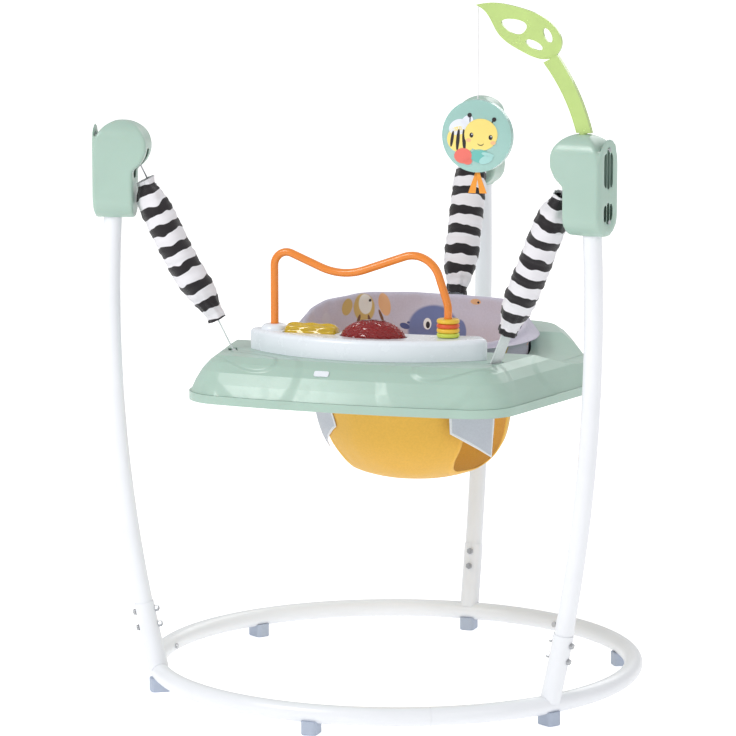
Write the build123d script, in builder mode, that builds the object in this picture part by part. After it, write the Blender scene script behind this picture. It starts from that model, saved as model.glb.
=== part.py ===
from build123d import *

import os
from math import atan2, cos, degrees, hypot, pi, radians, sin, sqrt

# A baby jumper: a floor ring with three bowed posts, and an activity tray that hangs from the
# post caps on three sleeved springs. A fabric seat turns in the tray's opening.
# Millimetres, +Z up. The baby faces -Y, so +X is the right-hand side seen from the front.
# The origin is on the floor, under the middle of the whole object's box.

# ---------------------------------------------------------------- base ring and feet
ring_radius = 400.0         # centreline of the floor ring
ring_tube = 31.0            # outer diameter of the ring's tube
tube_wall = 1.2             # wall of every steel tube
joint_lag = 30.0            # degrees from a post back to the ring joint before it
spigot_angle = 6.0          # degrees of spigot inside the next section
spigot_gap = 0.2            # radial clearance of a spigot in its tube
seam_angle = 0.03           # degrees left open between two sections
screw_angle = 2.6           # degrees from a joint to its screw
ring_screw_d = 5.0
foot_height = 17.5          # floor to the underside of the ring
foot_width = 26.0           # along the ring
foot_depth = 34.0           # across the ring
foot_peg_d = 9.6
saddle_gap = 0.15
hole_gap = 0.2              # radial clearance of a bolt, screw or peg in its hole

# ---------------------------------------------------------------- posts
front_post_angle = 32.8     # degrees behind which each front post stands, below the X axis
front_lean_angle = 13.4     # direction in which the front posts bow outwards
bow_bulge = 75.0            # how far a post bows out past the ring
bow_height = 650.0          # height of the widest point of the bow
post_tube = 30.0
stub_tube = 33.0            # lower tube, welded to the ring, that takes the post
stub_gap = 0.25             # radial clearance of a post in its stub
stub_top = 150.0
post_foot = 66.0            # lower end of a post, inside its stub
post_top = 905.0            # upper end of a post, inside its cap
bolt_heights = (110.0, 136.0)
bolt_d = 6.0
bolt_head_d = 11.0
bolt_head_height = 4.0

# ---------------------------------------------------------------- caps and hanger pins
cap_bottom = 788.0
cap_top = 948.0
cap_width = 66.0            # across the post, along the ring
cap_depth = 64.0            # along the post's bow
lobe_radius = 43.0          # round top that carries the spring
lobe_inset = 12.0           # lobe centre, inwards from the cap's middle
cap_wall = 2.6
cap_edge = 5.0              # rounding of the cap's edges
cover_width = 56.0
cover_height = 148.0
cover_proud = 2.5
cover_gap = 0.15
cap_screw_d = 4.0
cap_screw_spread = 112.0
pin_d = 7.0
pin_length = 52.0
pin_inset = 34.0            # pin axis, inwards from the cap's middle
pin_height = 888.0
pin_gap = 0.05              # radial clearance of a pin in its bosses
slot_width = 20.0           # slot under the lobe for the spring's hook

# ---------------------------------------------------------------- springs, sleeves and straps
spring_radius = 9.0
spring_wire = 2.5
spring_arm_d = 3.2
spring_arm_lift = 0.4       # arms lie this far inside the coil's ends
spring_stem_d = 2.6
spring_pitch = 12.0
coil_start = 52.0           # distances below the pin, along the spring's line
coil_length = 180.0
hook_radius = 5.4
loop_gap = 0.3              # clearance inside hooks and webbing loops
sleeve_wall = 1.5
sleeve_stations = ((41, 9.5), (57, 13.4), (77, 22), (140, 24), (215, 24), (255, 22), (277, 17), (291, 15.5))
strap_width = 25.0
strap_thickness = 2.0
strap_ring_thickness = 3.0
strap_ring_width = 36.0
strap_ring_height = 18.0
ring_seat = 1.7              # the ring hangs this far below the middle of the spring's eye
strap_bar_d = 5.0
strap_bar_length = 44.0

# ---------------------------------------------------------------- tray
tray_front = 296.0          # front edge, ahead of the ring's centre
tray_corner_half = 268.0    # half width at the front corners
tray_corner_back = 24.0     # how far the corners lie behind the front edge's middle
tray_wide_half = 334.0      # half width at the widest place
tray_wide_y = 75.0
tray_back_half = 205.0
tray_back = 385.0
tray_bottom = 497.0
tray_seam = 511.0           # parting line of the two shells
tray_deck = 570.0
tray_wall = 2.8
seam_step = 3.0             # the lower shell stands this far outside the upper one
seam_gap = 0.2
tray_profile = ((0.0, 0.0), (0.30, 8.0), (0.60, 19.0), (0.84, 32.0), (1.0, 46.0))
dip_y = 75.0                # the deck dips beside the seat
dip_depth = 27.0
dip_radius = 330.0
tray_screw_d = 4.0
tray_screw_places = ((212, -222), (284, 30), (190, 300), (72, -262))
boss_radius = 5.5
front_anchor = (226.0, -160.0)
rear_anchor_y = 306.0
badge_size = (25.0, 10.0, 1.6)
badge_x = -31.0
badge_gap = 0.3

# ---------------------------------------------------------------- rotating seat
seat_y = 95.0               # seat centre, behind the ring's centre
opening_radius = 197.5
seat_ring_radius = 188.0    # outside of the ring's upright wall
seat_ring_wall = 4.0
seat_ring_top = 566.0
seat_ring_bottom = 506.0
seat_flange_radius = 207.0
seat_flange_thickness = 4.0
seat_flange_z = 524.0       # underside of the flange
glide_height = 3.6
glide_count = 8
run_gap = 0.4               # running clearance around the rotating ring
cloth = 4.0                 # thickness of the padded fabric
cloth_gap = 0.4
skirt_bottom = 534.0
lining_bottom = 500.0
roll_top = 576.0
backrest_top = 628.0
backrest_thickness = 13.0
backrest_mid = 588.0        # height of the sloping top edge beside the seat's centre
bucket_stations = ((179.0, 512), (174.0, 498), (164.0, 448), (149.0, 392), (112.0, 348), (66.0, 331))
bucket_floor = 328.0
bucket_wall = 3.0
leg_angle = 20.0            # a leg hole faces this far ahead of the side
leg_width = 140.0
leg_bottom = 346.0
leg_top = 494.0
flap_thickness = 2.0

# ---------------------------------------------------------------- toys on the tray
panel_half = 207.0
panel_front = 222.0
panel_back = 122.0
panel_end_y = 138.0
panel_height = 34.0
panel_round = 8.0
arch_tube = 13.0
arch_bore = 8.0
arch_y = -140.0
arch_route = ((-160, 590), (-160, 742), (-42, 694), (108, 747), (139, 655), (139, 600))
arch_bends = (22.0, 105.0, 46.0, 50.0)
arch_seat = 14.0            # depth of the arch's ends in the panel
bead_radius = 18.5
bead_thickness = 7.2
bead_gap = 0.3
bead_count = 4
roller_x = -90.0
roller_y = -153.0
roller_length = 88.0
roller_radius = 20.0
roller_lobes = 6
roller_axle_d = 5.0
roller_axle_sink = 3.0      # the axle lies this far below the panel's top
bearing_depth = 5.0
dome_x = 21.0
dome_y = -168.0
dome_length = 112.0
dome_width = 60.0
dome_height = 30.0
dome_facets = 12
dome_travel = 4.0
dome_sink = 4.0             # the dome's rim lies this far below the panel's top
dome_spring_radius = 9.0
dome_spring_wire = 1.6
dome_spring_room = 12.0     # depth of the spring's pocket in the button
well_floor = 6.0            # panel left under the pocket and the well

# ---------------------------------------------------------------- leaf arm and pendant
leaf_thickness = 7.0
stem_thickness = 12.0
stem_plug = 14.0            # depth of the stem's plug in the cap
stem_plug_d = 13.0
stem_gap = 0.4
string_x = -172.0           # the string hangs from the leaf's tip
string_rise = 192.1         # height of the string's upper end over the cap's top
string_d = 2.0
pendant_radius = 57.0
pendant_depth = 26.0
pendant_wall = 2.0
pendant_rim = 6.0           # half height of the straight rim
string_length = 144.1
string_gap = 0.3
pendant_seam = 0.3
tag_width = 18.0
tag_height = 34.0
tag_depth = 7.0
tag_wall = 1.6

# ---------------------------------------------------------------- derived values
ring_z = foot_height + ring_tube / 2
bow_rise = bow_height - ring_z
bow_radius = (bow_rise ** 2 + bow_bulge ** 2) / (2 * bow_bulge)
cap_mid = (cap_bottom + cap_top) / 2


def bow_out(height):
    """How far a post's axis stands outside the ring's centreline at a height."""
    return bow_bulge - bow_radius + sqrt(bow_radius ** 2 - (height - bow_height) ** 2)


cap_out = bow_out(cap_mid)
cover_out = cap_out + cap_depth / 2 + cover_proud
ring_y = (ring_radius + foot_depth / 2 - ring_radius - cover_out) / 2
seat_center = (0.0, ring_y + seat_y)
ring_axis = Axis((0, ring_y, 0), (0, 0, 1))
seat_axis = Axis((seat_center[0], seat_center[1], 0), (0, 0, 1))
lobe_z = cap_top - lobe_radius
panel_z = tray_deck + seam_gap
panel_top = panel_z + panel_height
dome_base = panel_top - dome_sink

# name: (angle on the ring, direction of the bow), in degrees from +X
posts = {
    "left": (180 + front_post_angle, 180 + front_lean_angle),
    "right": (360 - front_post_angle, 360 - front_lean_angle),
    "rear": (90.0, 90.0),
}
anchors = {
    "left": (-front_anchor[0], ring_y + front_anchor[1]),
    "right": (front_anchor[0], ring_y + front_anchor[1]),
    "rear": (0.0, ring_y + rear_anchor_y),
}
foot_angles = (posts["left"][0], posts["right"][0], posts["rear"][0],
               (posts["left"][0] + posts["rear"][0]) / 2 - 5.2, 270.0,
               posts["right"][0] - 360 + (90 - posts["right"][0] + 360) / 2 + 5.2)


def direction(angle):
    return (cos(radians(angle)), sin(radians(angle)), 0)


def upright_plane(origin, angle):
    """A vertical plane: x runs outwards at the angle, y runs up, z along the ring."""
    return Plane(origin=origin, x_dir=direction(angle), z_dir=direction(angle - 90))


def post_plane(name):
    angle, lean = posts[name]
    foot = (ring_radius * cos(radians(angle)), ring_y + ring_radius * sin(radians(angle)), 0)
    return upright_plane(foot, lean)


def write(builder, name):
    builder.part.label = name
    export_step(builder.part, f"parts/{name}.step")


def annulus(outer, bore):
    Circle(outer / 2)
    Circle(bore / 2, mode=Mode.SUBTRACT)


os.makedirs("parts", exist_ok=True)

# ================================================================ base ring
spigot_outer = ring_tube - 2 * tube_wall - 2 * spigot_gap
joints = sorted((angle - joint_lag) % 360 for angle, lean in posts.values())


def ring_plane(angle):
    return upright_plane((0, ring_y, ring_z), angle)


def ring_arc(start, span, outer, bore):
    with BuildSketch(ring_plane(start)) as profile:
        with Locations((ring_radius, 0)):
            annulus(outer, bore)
    revolve(profile.sketch, axis=ring_axis, revolution_arc=span)


def ring_screw_plane(angle):
    """On the inner face of the ring, with z pointing to the ring's centre."""
    inner = ring_radius - ring_tube / 2
    x, y, z = direction(angle)
    return Plane(origin=(inner * x, ring_y + inner * y, ring_z), z_dir=(-x, -y, 0))


def ring_section(start, span):
    """One bent tube of the ring, with a necked spigot on its far end."""
    end = start + span - seam_angle
    with BuildPart() as section:
        ring_arc(start, span - seam_angle, ring_tube, ring_tube - 2 * tube_wall)
        ring_arc(end - 0.6, 0.6, ring_tube - tube_wall, spigot_outer - 2 * tube_wall)
        ring_arc(end - 0.3, spigot_angle + 0.3, spigot_outer, spigot_outer - 2 * tube_wall)
        for angle in (start + screw_angle, start + span + screw_angle):
            with BuildSketch(ring_screw_plane(angle)):
                Circle(ring_screw_d / 2 + hole_gap)
            extrude(amount=2, mode=Mode.SUBTRACT)
            with BuildSketch(ring_screw_plane(angle)):
                Circle(ring_screw_d / 2 + hole_gap)
            extrude(amount=-8, mode=Mode.SUBTRACT)
        for angle in foot_angles:
            if (angle - start) % 360 < span:
                x, y, z = direction(angle)
                with Locations((ring_radius * x, ring_y + ring_radius * y, foot_height)):
                    Cylinder(foot_peg_d / 2 + hole_gap, 8, mode=Mode.SUBTRACT)
    return section


section_names = {}
for name, (angle, lean) in posts.items():
    start = (angle - joint_lag) % 360
    following = min((joint - start) % 360 for joint in joints if joint != start)
    section_names[name] = (start, following)
    write(ring_section(start, following), f"ring_section_{name}")

with BuildPart() as ring_screws:
    for start, span in section_names.values():
        plane = ring_screw_plane(start + screw_angle)
        with BuildSketch(plane.offset(0.2)):
            Circle(ring_screw_d * 0.9)
        extrude(amount=3)
        with BuildSketch(plane.offset(1)):
            Circle(ring_screw_d / 2)
        extrude(amount=-9)
write(ring_screws, "ring_screws")

with BuildPart() as feet:
    for angle in foot_angles:
        x, y, z = direction(angle)
        spot = (ring_radius * x, ring_y + ring_radius * y, 0)
        with BuildSketch(Plane(origin=spot, x_dir=(x, y, 0))):
            RectangleRounded(foot_depth, foot_width, 7)
        extrude(amount=foot_height + 5)
    chamfer(feet.faces().filter_by(Axis.Z).group_by(Axis.Z)[0].edges(), 1.2)
    with Locations((0, ring_y, ring_z)):
        Torus(ring_radius, ring_tube / 2 + saddle_gap, mode=Mode.SUBTRACT)
    for angle in foot_angles:
        x, y, z = direction(angle)
        with Locations((ring_radius * x, ring_y + ring_radius * y, foot_height - 3)):
            Cylinder(foot_peg_d / 2, 11, align=(Align.CENTER, Align.CENTER, Align.MIN))
write(feet, "feet")


# ================================================================ posts and their stubs
def bowed_tube(plane, low, high, outer, bore):
    """A tube along the post's bow between two heights."""
    middle = (low + high) / 2
    with BuildPart() as tube:
        with BuildLine(plane) as bow:
            ThreePointArc((bow_out(low), low), (bow_out(middle), middle), (bow_out(high), high))
        with BuildSketch(Plane(origin=bow.line @ 0, z_dir=bow.line % 0)):
            annulus(outer, bore)
        sweep()
    return tube


def bolt_plane(plane, height, outwards=1):
    """Across a bolt, with z along it, square to the bowed tube."""
    lean = atan2(bow_height - height, sqrt(bow_radius ** 2 - (height - bow_height) ** 2))
    outward = plane.x_dir * cos(lean) - plane.y_dir * sin(lean)
    return Plane(origin=plane.from_local_coords((bow_out(height), height, 0)), z_dir=outward * outwards)


def bolt_holes(plane, reach):
    """Drills the bolt holes through a tube."""
    for height in bolt_heights:
        with BuildSketch(bolt_plane(plane, height)) as hole:
            Circle(bolt_d / 2 + hole_gap)
        extrude(hole.sketch, amount=reach, both=True, mode=Mode.SUBTRACT)


for name in posts:
    plane = post_plane(name)
    with BuildPart() as stub:
        add(bowed_tube(plane, ring_z + 6, stub_top, stub_tube, post_tube + 2 * stub_gap).part)
        with Locations((0, ring_y, ring_z)):
            Torus(ring_radius, ring_tube / 2 + saddle_gap, mode=Mode.SUBTRACT)
        bolt_holes(plane, stub_tube)
    write(stub, f"post_stub_{name}")
    with BuildPart() as post:
        add(bowed_tube(plane, post_foot, post_top, post_tube, post_tube - 2 * tube_wall).part)
        bolt_holes(plane, stub_tube)
    write(post, f"post_{name}")

with BuildPart() as post_bolts:
    for name in posts:
        plane = post_plane(name)
        for height in bolt_heights:
            across = bolt_plane(plane, height)
            with BuildSketch(across.offset(-stub_tube / 2 - 7)):
                Circle(bolt_d / 2)
            extrude(amount=stub_tube + 7.5)
            with BuildSketch(across.offset(stub_tube / 2 + 0.3)):
                Circle(bolt_head_d / 2)
            extrude(amount=bolt_head_height, taper=14)
write(post_bolts, "post_bolts")

with BuildPart() as post_nuts:
    for name in posts:
        plane = post_plane(name)
        for height in bolt_heights:
            across = bolt_plane(plane, height, -1)
            with BuildSketch(across.offset(stub_tube / 2 + 0.3)):
                RegularPolygon(bolt_head_d / 2, 6)
                Circle(bolt_d / 2 + 0.05, mode=Mode.SUBTRACT)
            extrude(amount=5)
write(post_nuts, "post_nuts")


# ================================================================ caps
def cap_solid(plane, skin):
    """The cap's outer form, or with a skin the hollow inside it."""
    low, high = cap_bottom + skin, cap_top - skin
    width = cap_width - 2 * skin
    with BuildPart(mode=Mode.PRIVATE) as side:
        with BuildSketch(plane):
            with Locations((cap_out, (low + lobe_z) / 2)):
                Rectangle(cap_depth - 2 * skin, lobe_z - low)
            with Locations((cap_out - lobe_inset, lobe_z)):
                Circle(lobe_radius - skin)
        extrude(amount=width / 2, both=True)
    face = Plane(origin=plane.from_local_coords((cap_out, cap_mid, 0)), x_dir=(0, 0, 1),
                 z_dir=plane.x_dir)
    with BuildPart(mode=Mode.PRIVATE) as front:
        with BuildSketch(face):
            SlotOverall(high - low, width)
        extrude(amount=cap_depth * 1.5, both=True)
    return side.part & front.part


def cap_face(plane, distance):
    """A plane on the cap's outer side, x up, z outwards."""
    return Plane(origin=plane.from_local_coords((cap_out + distance, cap_mid, 0)), x_dir=(0, 0, 1),
                 z_dir=plane.x_dir)


def post_cut(plane):
    """The space that the post takes, up through the cap's bottom."""
    return bowed_tube(plane, cap_bottom - 20, post_top + 4, post_tube + 2 * stub_gap, 0.01)


def screw_spots():
    return Locations((cap_screw_spread / 2, 0), (-cap_screw_spread / 2, 0))


for name in posts:
    plane = post_plane(name)
    with BuildPart() as cap_body:
        add(cap_solid(plane, 0))
        add(cap_solid(plane, cap_wall), mode=Mode.SUBTRACT)
        # the outer side is open under the cover
        with BuildSketch(cap_face(plane, cap_depth / 2 - 8)):
            SlotOverall(cover_height - 30, cover_width - 18)
        extrude(amount=12, mode=Mode.SUBTRACT)
        # collar that grips the post
        with BuildSketch(Plane.XY.offset(cap_bottom)):
            with Locations(plane.from_local_coords((bow_out(cap_bottom + 25), 0, 0))):
                Circle(post_tube / 2 + 4)
        extrude(amount=46)
        # bosses for the hanger pin
        for side in (-1, 1):
            with BuildSketch(plane.offset(side * (cap_width / 2 - cap_wall + 0.6))):
                with Locations((cap_out - pin_inset, pin_height)):
                    Circle(pin_d / 2 + 3)
            extrude(amount=-side * 8)
        with BuildSketch(plane):
            with Locations((cap_out - pin_inset, pin_height)):
                Circle(pin_d / 2 + pin_gap)
        extrude(amount=pin_length / 2 + 0.3, both=True, mode=Mode.SUBTRACT)
        # slot under the lobe, and the post's way in
        with BuildSketch(plane):
            with Locations((cap_out - pin_inset - 11, pin_height - 11)):
                Rectangle(32, 44)
        extrude(amount=slot_width / 2, both=True, mode=Mode.SUBTRACT)
        middle = (cap_bottom + post_top) / 2
        with BuildLine(plane) as bow:
            ThreePointArc((bow_out(cap_bottom - 20), cap_bottom - 20), (bow_out(middle), middle),
                          (bow_out(post_top + 3), post_top + 3))
        with BuildSketch(Plane(origin=bow.line @ 0, z_dir=bow.line % 0)):
            Circle(post_tube / 2 + stub_gap)
        sweep(mode=Mode.SUBTRACT)
        # socket for the leaf arm
        if name == "right":
            with BuildSketch(Plane.XY.offset(cap_top - stem_plug)):
                with Locations(plane.from_local_coords((cap_out - lobe_inset, 0, 0))):
                    Circle(stem_plug_d / 2 + 3)
            extrude(amount=stem_plug - 2)
            with BuildSketch(Plane.XY.offset(cap_top - stem_plug - 1)):
                with Locations(plane.from_local_coords((cap_out - lobe_inset, 0, 0))):
                    Circle(stem_plug_d / 2 + hole_gap)
            extrude(amount=stem_plug + 4, mode=Mode.SUBTRACT)
        # screw holes for the cover
        for spread in (cap_screw_spread / 2, -cap_screw_spread / 2):
            with BuildSketch(cap_face(plane, cap_depth / 2)):
                with Locations((spread, 0)):
                    Circle(cap_screw_d / 2 - 0.1)
            extrude(amount=-cap_wall - 1, mode=Mode.SUBTRACT)
    write(cap_body, f"cap_body_{name}")

    with BuildPart() as cap_cover:
        with BuildSketch(cap_face(plane, cap_depth / 2 + cover_gap)):
            SlotOverall(cover_height, cover_width)
        extrude(amount=cover_proud - cover_gap)
        chamfer(cap_cover.faces().sort_by(Axis(plane.origin, plane.x_dir))[-1].edges(), 1.0)
        # recessed arch above a half-round lower panel
        with BuildSketch(cap_face(plane, cap_depth / 2 + cover_proud)):
            with Locations((24, 0)):
                SlotOverall(58, 30)
            with Locations((-46, 0)):
                Circle(19)
        extrude(amount=-1.0, mode=Mode.SUBTRACT)
        with BuildSketch(cap_face(plane, cap_depth / 2 + cover_proud)):
            with Locations((cap_screw_spread / 2, 0), (-cap_screw_spread / 2, 0)):
                Circle(cap_screw_d / 2 + hole_gap)
        extrude(amount=-4, mode=Mode.SUBTRACT)
    write(cap_cover, f"cap_cover_{name}")

    with BuildPart() as hanger_pin:
        with BuildSketch(plane):
            with Locations((cap_out - pin_inset, pin_height)):
                Circle(pin_d / 2)
        extrude(amount=pin_length / 2, both=True)
    write(hanger_pin, f"hanger_pin_{name}")

with BuildPart() as cap_screws:
    for name in posts:
        plane = post_plane(name)
        for spread in (cap_screw_spread / 2, -cap_screw_spread / 2):
            with BuildSketch(cap_face(plane, cap_depth / 2 + cover_proud + 0.1)):
                with Locations((spread, 0)):
                    Circle(cap_screw_d * 0.85)
            extrude(amount=1.4)
            with BuildSketch(cap_face(plane, cap_depth / 2 + cover_proud + 0.3)):
                with Locations((spread, 0)):
                    Circle(cap_screw_d / 2 - 0.15)
            extrude(amount=-cover_proud - cap_wall - 1)
write(cap_screws, "cap_screws")


# ================================================================ springs, sleeves and straps
def hang_line(name):
    """The spring's line from the hanger pin to the strap's anchor: start, unit vector, length."""
    pin = post_plane(name).from_local_coords((cap_out - pin_inset, pin_height, 0))
    anchor = Vector(anchors[name][0], anchors[name][1], tray_deck)
    line = anchor - pin
    return pin, line.normalized(), line.length


def hang_plane(name, distance):
    """Across the spring's line, x along the webbing's width."""
    pin, along, length = hang_line(name)
    across = Vector(0, 0, 1).cross(along).normalized()
    return Plane(origin=pin + along * distance, x_dir=across, z_dir=along)


def hang_side_plane(name, distance):
    """Holds the spring's line: x down the line, z along the webbing's width."""
    pin, along, length = hang_line(name)
    across = Vector(0, 0, 1).cross(along).normalized()
    return Plane(origin=pin + along * distance, x_dir=along, z_dir=across)


coil_end = coil_start + coil_length
eye_low = coil_end + 15.0                            # middle of the spring's lower eye
ring_bar_top = eye_low + ring_seat                   # upper bar of the strap's ring
ring_bar_low = ring_bar_top + strap_ring_height - strap_ring_thickness
loop_radius = strap_ring_thickness / 2 * sqrt(2) + loop_gap
bar_z = tray_deck - tray_wall - strap_bar_d / 2 - seam_gap

# one spring and one sleeve, upright with the pin at the origin, and z down the spring's line
with BuildPart() as spring_form:
    with BuildLine(Plane.XY.offset(coil_start)) as coil:
        Helix(spring_pitch, coil_length, spring_radius)
    with BuildSketch(Plane(origin=coil.line @ 0, z_dir=coil.line % 0)):
        Circle(spring_wire / 2)
    sweep(is_frenet=True)
    # crimped arms lead from the coil to the stems on its axis
    for height in (coil_start + spring_arm_lift, coil_end - spring_arm_lift):
        with BuildSketch(Plane.YZ.offset(-1)):
            with Locations((0, height)):
                Circle(spring_arm_d / 2)
        extrude(amount=spring_radius + 1.4)
    for low, high in ((hook_radius, coil_start + spring_arm_lift),
                      (coil_end - spring_arm_lift, eye_low - hook_radius)):
        with BuildSketch(Plane.XY.offset(low)):
            Circle(spring_stem_d / 2)
        extrude(amount=high - low)
    # eyes round the hanger pin and the strap's ring
    for centre in (0.0, eye_low):
        with BuildSketch(Plane.XY.offset(centre)):
            with Locations((0, hook_radius)):
                Circle(spring_wire / 2)
        revolve(axis=Axis((0, 0, centre), (1, 0, 0)))

with BuildPart() as sleeve_form:
    with BuildSketch(Plane.XZ):
        with BuildLine():
            outer = Polyline([(radius, distance) for distance, radius in sleeve_stations])
            inner = Polyline([(radius - sleeve_wall, distance) for distance, radius in sleeve_stations])
            Line(outer @ 0, inner @ 0)
            Line(outer @ 1, inner @ 1)
        make_face()
    revolve(axis=Axis.Z)

for name in posts:
    pin, along, length = hang_line(name)
    with BuildPart() as spring:
        add(spring_form.part.moved(hang_plane(name, 0).location))
    write(spring, f"spring_{name}")
    with BuildPart() as sleeve:
        add(sleeve_form.part.moved(hang_plane(name, 0).location))
    write(sleeve, f"sleeve_{name}")

    # webbing from the ring, down through the slot in the deck, round the bar below it
    side = hang_side_plane(name, 0)
    bar_distance = (pin.Z - bar_z) / -along.Z
    bar_loop = strap_bar_d / 2 + loop_gap
    with BuildPart() as strap:
        with BuildSketch(side):
            with Locations((ring_bar_low, 0)):
                Circle(loop_radius + strap_thickness)
            with Locations((bar_distance, 0)):
                Circle(bar_loop + strap_thickness)
            with Locations(((ring_bar_low + bar_distance) / 2, 0)):
                Rectangle(bar_distance - ring_bar_low - 2, strap_thickness)
            with Locations((ring_bar_low, 0)):
                Circle(loop_radius, mode=Mode.SUBTRACT)
            with Locations((bar_distance, 0)):
                Circle(bar_loop, mode=Mode.SUBTRACT)
        extrude(amount=strap_width / 2, both=True)
    write(strap, f"strap_{name}")

with BuildPart() as strap_rings:
    for name in posts:
        middle = (ring_bar_top + ring_bar_low) / 2
        base = hang_plane(name, middle)
        flat = Plane(origin=base.origin, x_dir=base.x_dir, z_dir=base.z_dir.cross(base.x_dir))
        with BuildSketch(flat):
            RectangleRounded(strap_ring_width, strap_ring_height, 5)
            RectangleRounded(strap_ring_width - 2 * strap_ring_thickness,
                             strap_ring_height - 2 * strap_ring_thickness, 2, mode=Mode.SUBTRACT)
        extrude(amount=strap_ring_thickness / 2, both=True)
write(strap_rings, "strap_rings")

with BuildPart() as strap_bars:
    for name in posts:
        pin, along, length = hang_line(name)
        distance = (pin.Z - bar_z) / -along.Z
        base = hang_plane(name, distance)
        with BuildSketch(Plane(origin=base.origin, z_dir=base.x_dir)):
            Circle(strap_bar_d / 2)
        extrude(amount=strap_bar_length / 2, both=True)
write(strap_bars, "strap_bars")


# ================================================================ tray
def tray_face(height, inset):
    """The tray's outline at a height, moved inwards."""
    front = ring_y - tray_front
    corner = front + tray_corner_back
    wide = ring_y + tray_wide_y
    back = ring_y + tray_back
    with BuildSketch(Plane.XY.offset(height), mode=Mode.PRIVATE) as face:
        with BuildLine():
            ThreePointArc((-tray_corner_half, corner), (0, front), (tray_corner_half, corner))
            Line((tray_corner_half, corner), (tray_wide_half, wide))
            Line((tray_wide_half, wide), (tray_back_half, back))
            Line((tray_back_half, back), (-tray_back_half, back))
            Line((-tray_back_half, back), (-tray_wide_half, wide))
            Line((-tray_wide_half, wide), (-tray_corner_half, corner))
        make_face()
        corners = face.vertices().group_by(Axis.Y)
        fillet(corners[0], 78)
        fillet([v for v in face.vertices() if abs(v.Y - wide) < 1], 170)
        fillet([v for v in face.vertices() if abs(v.Y - back) < 1 and abs(abs(v.X) - tray_back_half) < 1], 130)
        offset(amount=-inset, kind=Kind.ARC)
    return face.sketch


def tray_form(skin):
    """The upper shell's crowned form, or with a skin the hollow under it."""
    rise = tray_deck - tray_seam
    with BuildPart(mode=Mode.PRIVATE) as form:
        for part, inset in tray_profile:
            height = tray_seam + rise * part - (skin if part else 0)
            add(tray_face(height, seam_step + inset + skin))
        loft(ruled=True)
        # the deck sinks beside the seat
        with BuildSketch(Plane.YZ):
            with Locations((ring_y + dip_y, tray_deck - dip_depth + dip_radius)):
                Circle(dip_radius + skin)
        extrude(amount=tray_wide_half + 50, both=True, mode=Mode.SUBTRACT)
    return form.part


def pillar(spots, radius, low, high):
    with BuildPart(mode=Mode.PRIVATE) as pillars:
        with BuildSketch(Plane.XY.offset(low)):
            with Locations(spots):
                Circle(radius)
        extrude(amount=high - low)
    return pillars.part


screw_spots_tray = [(side * x, ring_y + y) for x, y in tray_screw_places for side in (-1, 1)]
shell_outer = tray_form(0)
with BuildPart(mode=Mode.PRIVATE) as inner_wall:
    with BuildSketch(Plane.XY.offset(seat_flange_z + seat_flange_thickness + run_gap + 0.6)):
        with Locations(seat_center):
            Circle(opening_radius + tray_wall)
            Circle(opening_radius, mode=Mode.SUBTRACT)
    extrude(amount=tray_deck)

with BuildPart() as tray_upper:
    add(shell_outer)
    add(tray_form(tray_wall), mode=Mode.SUBTRACT)
    add(pillar(screw_spots_tray, boss_radius, tray_bottom + tray_wall + seam_gap, tray_deck + 5)
        & (shell_outer + pillar(screw_spots_tray, boss_radius, tray_bottom, tray_seam + 2)))
    with BuildSketch(Plane.XY.offset(tray_bottom)):
        with Locations(screw_spots_tray):
            Circle(tray_screw_d / 2 - 0.1)
    extrude(amount=16, mode=Mode.SUBTRACT)
    with BuildSketch(Plane.XY.offset(tray_seam - 10)):
        with Locations(seat_center):
            Circle(opening_radius)
    extrude(amount=100, mode=Mode.SUBTRACT)
    add(inner_wall.part & shell_outer)
    for name in posts:
        pin, along, length = hang_line(name)
        across = degrees(atan2(-along.X, along.Y))
        spot = pin + along * ((pin.Z - tray_deck) / -along.Z)
        with BuildSketch(Plane(origin=(spot.X, spot.Y, tray_deck + 5), x_dir=Vector(0, 0, 1).cross(along))):
            Rectangle(strap_width + 5, 15)
        extrude(amount=-12, mode=Mode.SUBTRACT)
write(tray_upper, "tray_upper")

with BuildPart() as tray_lower:
    add(tray_face(tray_bottom, 0))
    extrude(amount=tray_seam - tray_bottom - seam_gap)
    add(tray_face(tray_bottom + tray_wall, tray_wall))
    extrude(amount=tray_seam, mode=Mode.SUBTRACT)
    with BuildSketch(Plane.XY.offset(tray_bottom)):
        with Locations(seat_center):
            Circle(seat_flange_radius + 7)
    extrude(amount=seat_flange_z - glide_height - run_gap - tray_bottom)
    with BuildSketch(Plane.XY.offset(tray_bottom - 1)):
        with Locations(seat_center):
            Circle(opening_radius + 1)
    extrude(amount=100, mode=Mode.SUBTRACT)
    with BuildSketch(Plane.XY.offset(tray_bottom - 1)):
        with Locations(screw_spots_tray):
            Circle(tray_screw_d / 2 + hole_gap)
    extrude(amount=6, mode=Mode.SUBTRACT)
write(tray_lower, "tray_lower")

with BuildPart() as tray_screws:
    with BuildSketch(Plane.XY.offset(tray_bottom - 2.6)):
        with Locations(screw_spots_tray):
            Circle(tray_screw_d * 0.95)
    extrude(amount=2.5)
    with BuildSketch(Plane.XY.offset(tray_bottom - 0.5)):
        with Locations(screw_spots_tray):
            Circle(tray_screw_d / 2 - 0.15)
    extrude(amount=15)
write(tray_screws, "tray_screws")

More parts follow.
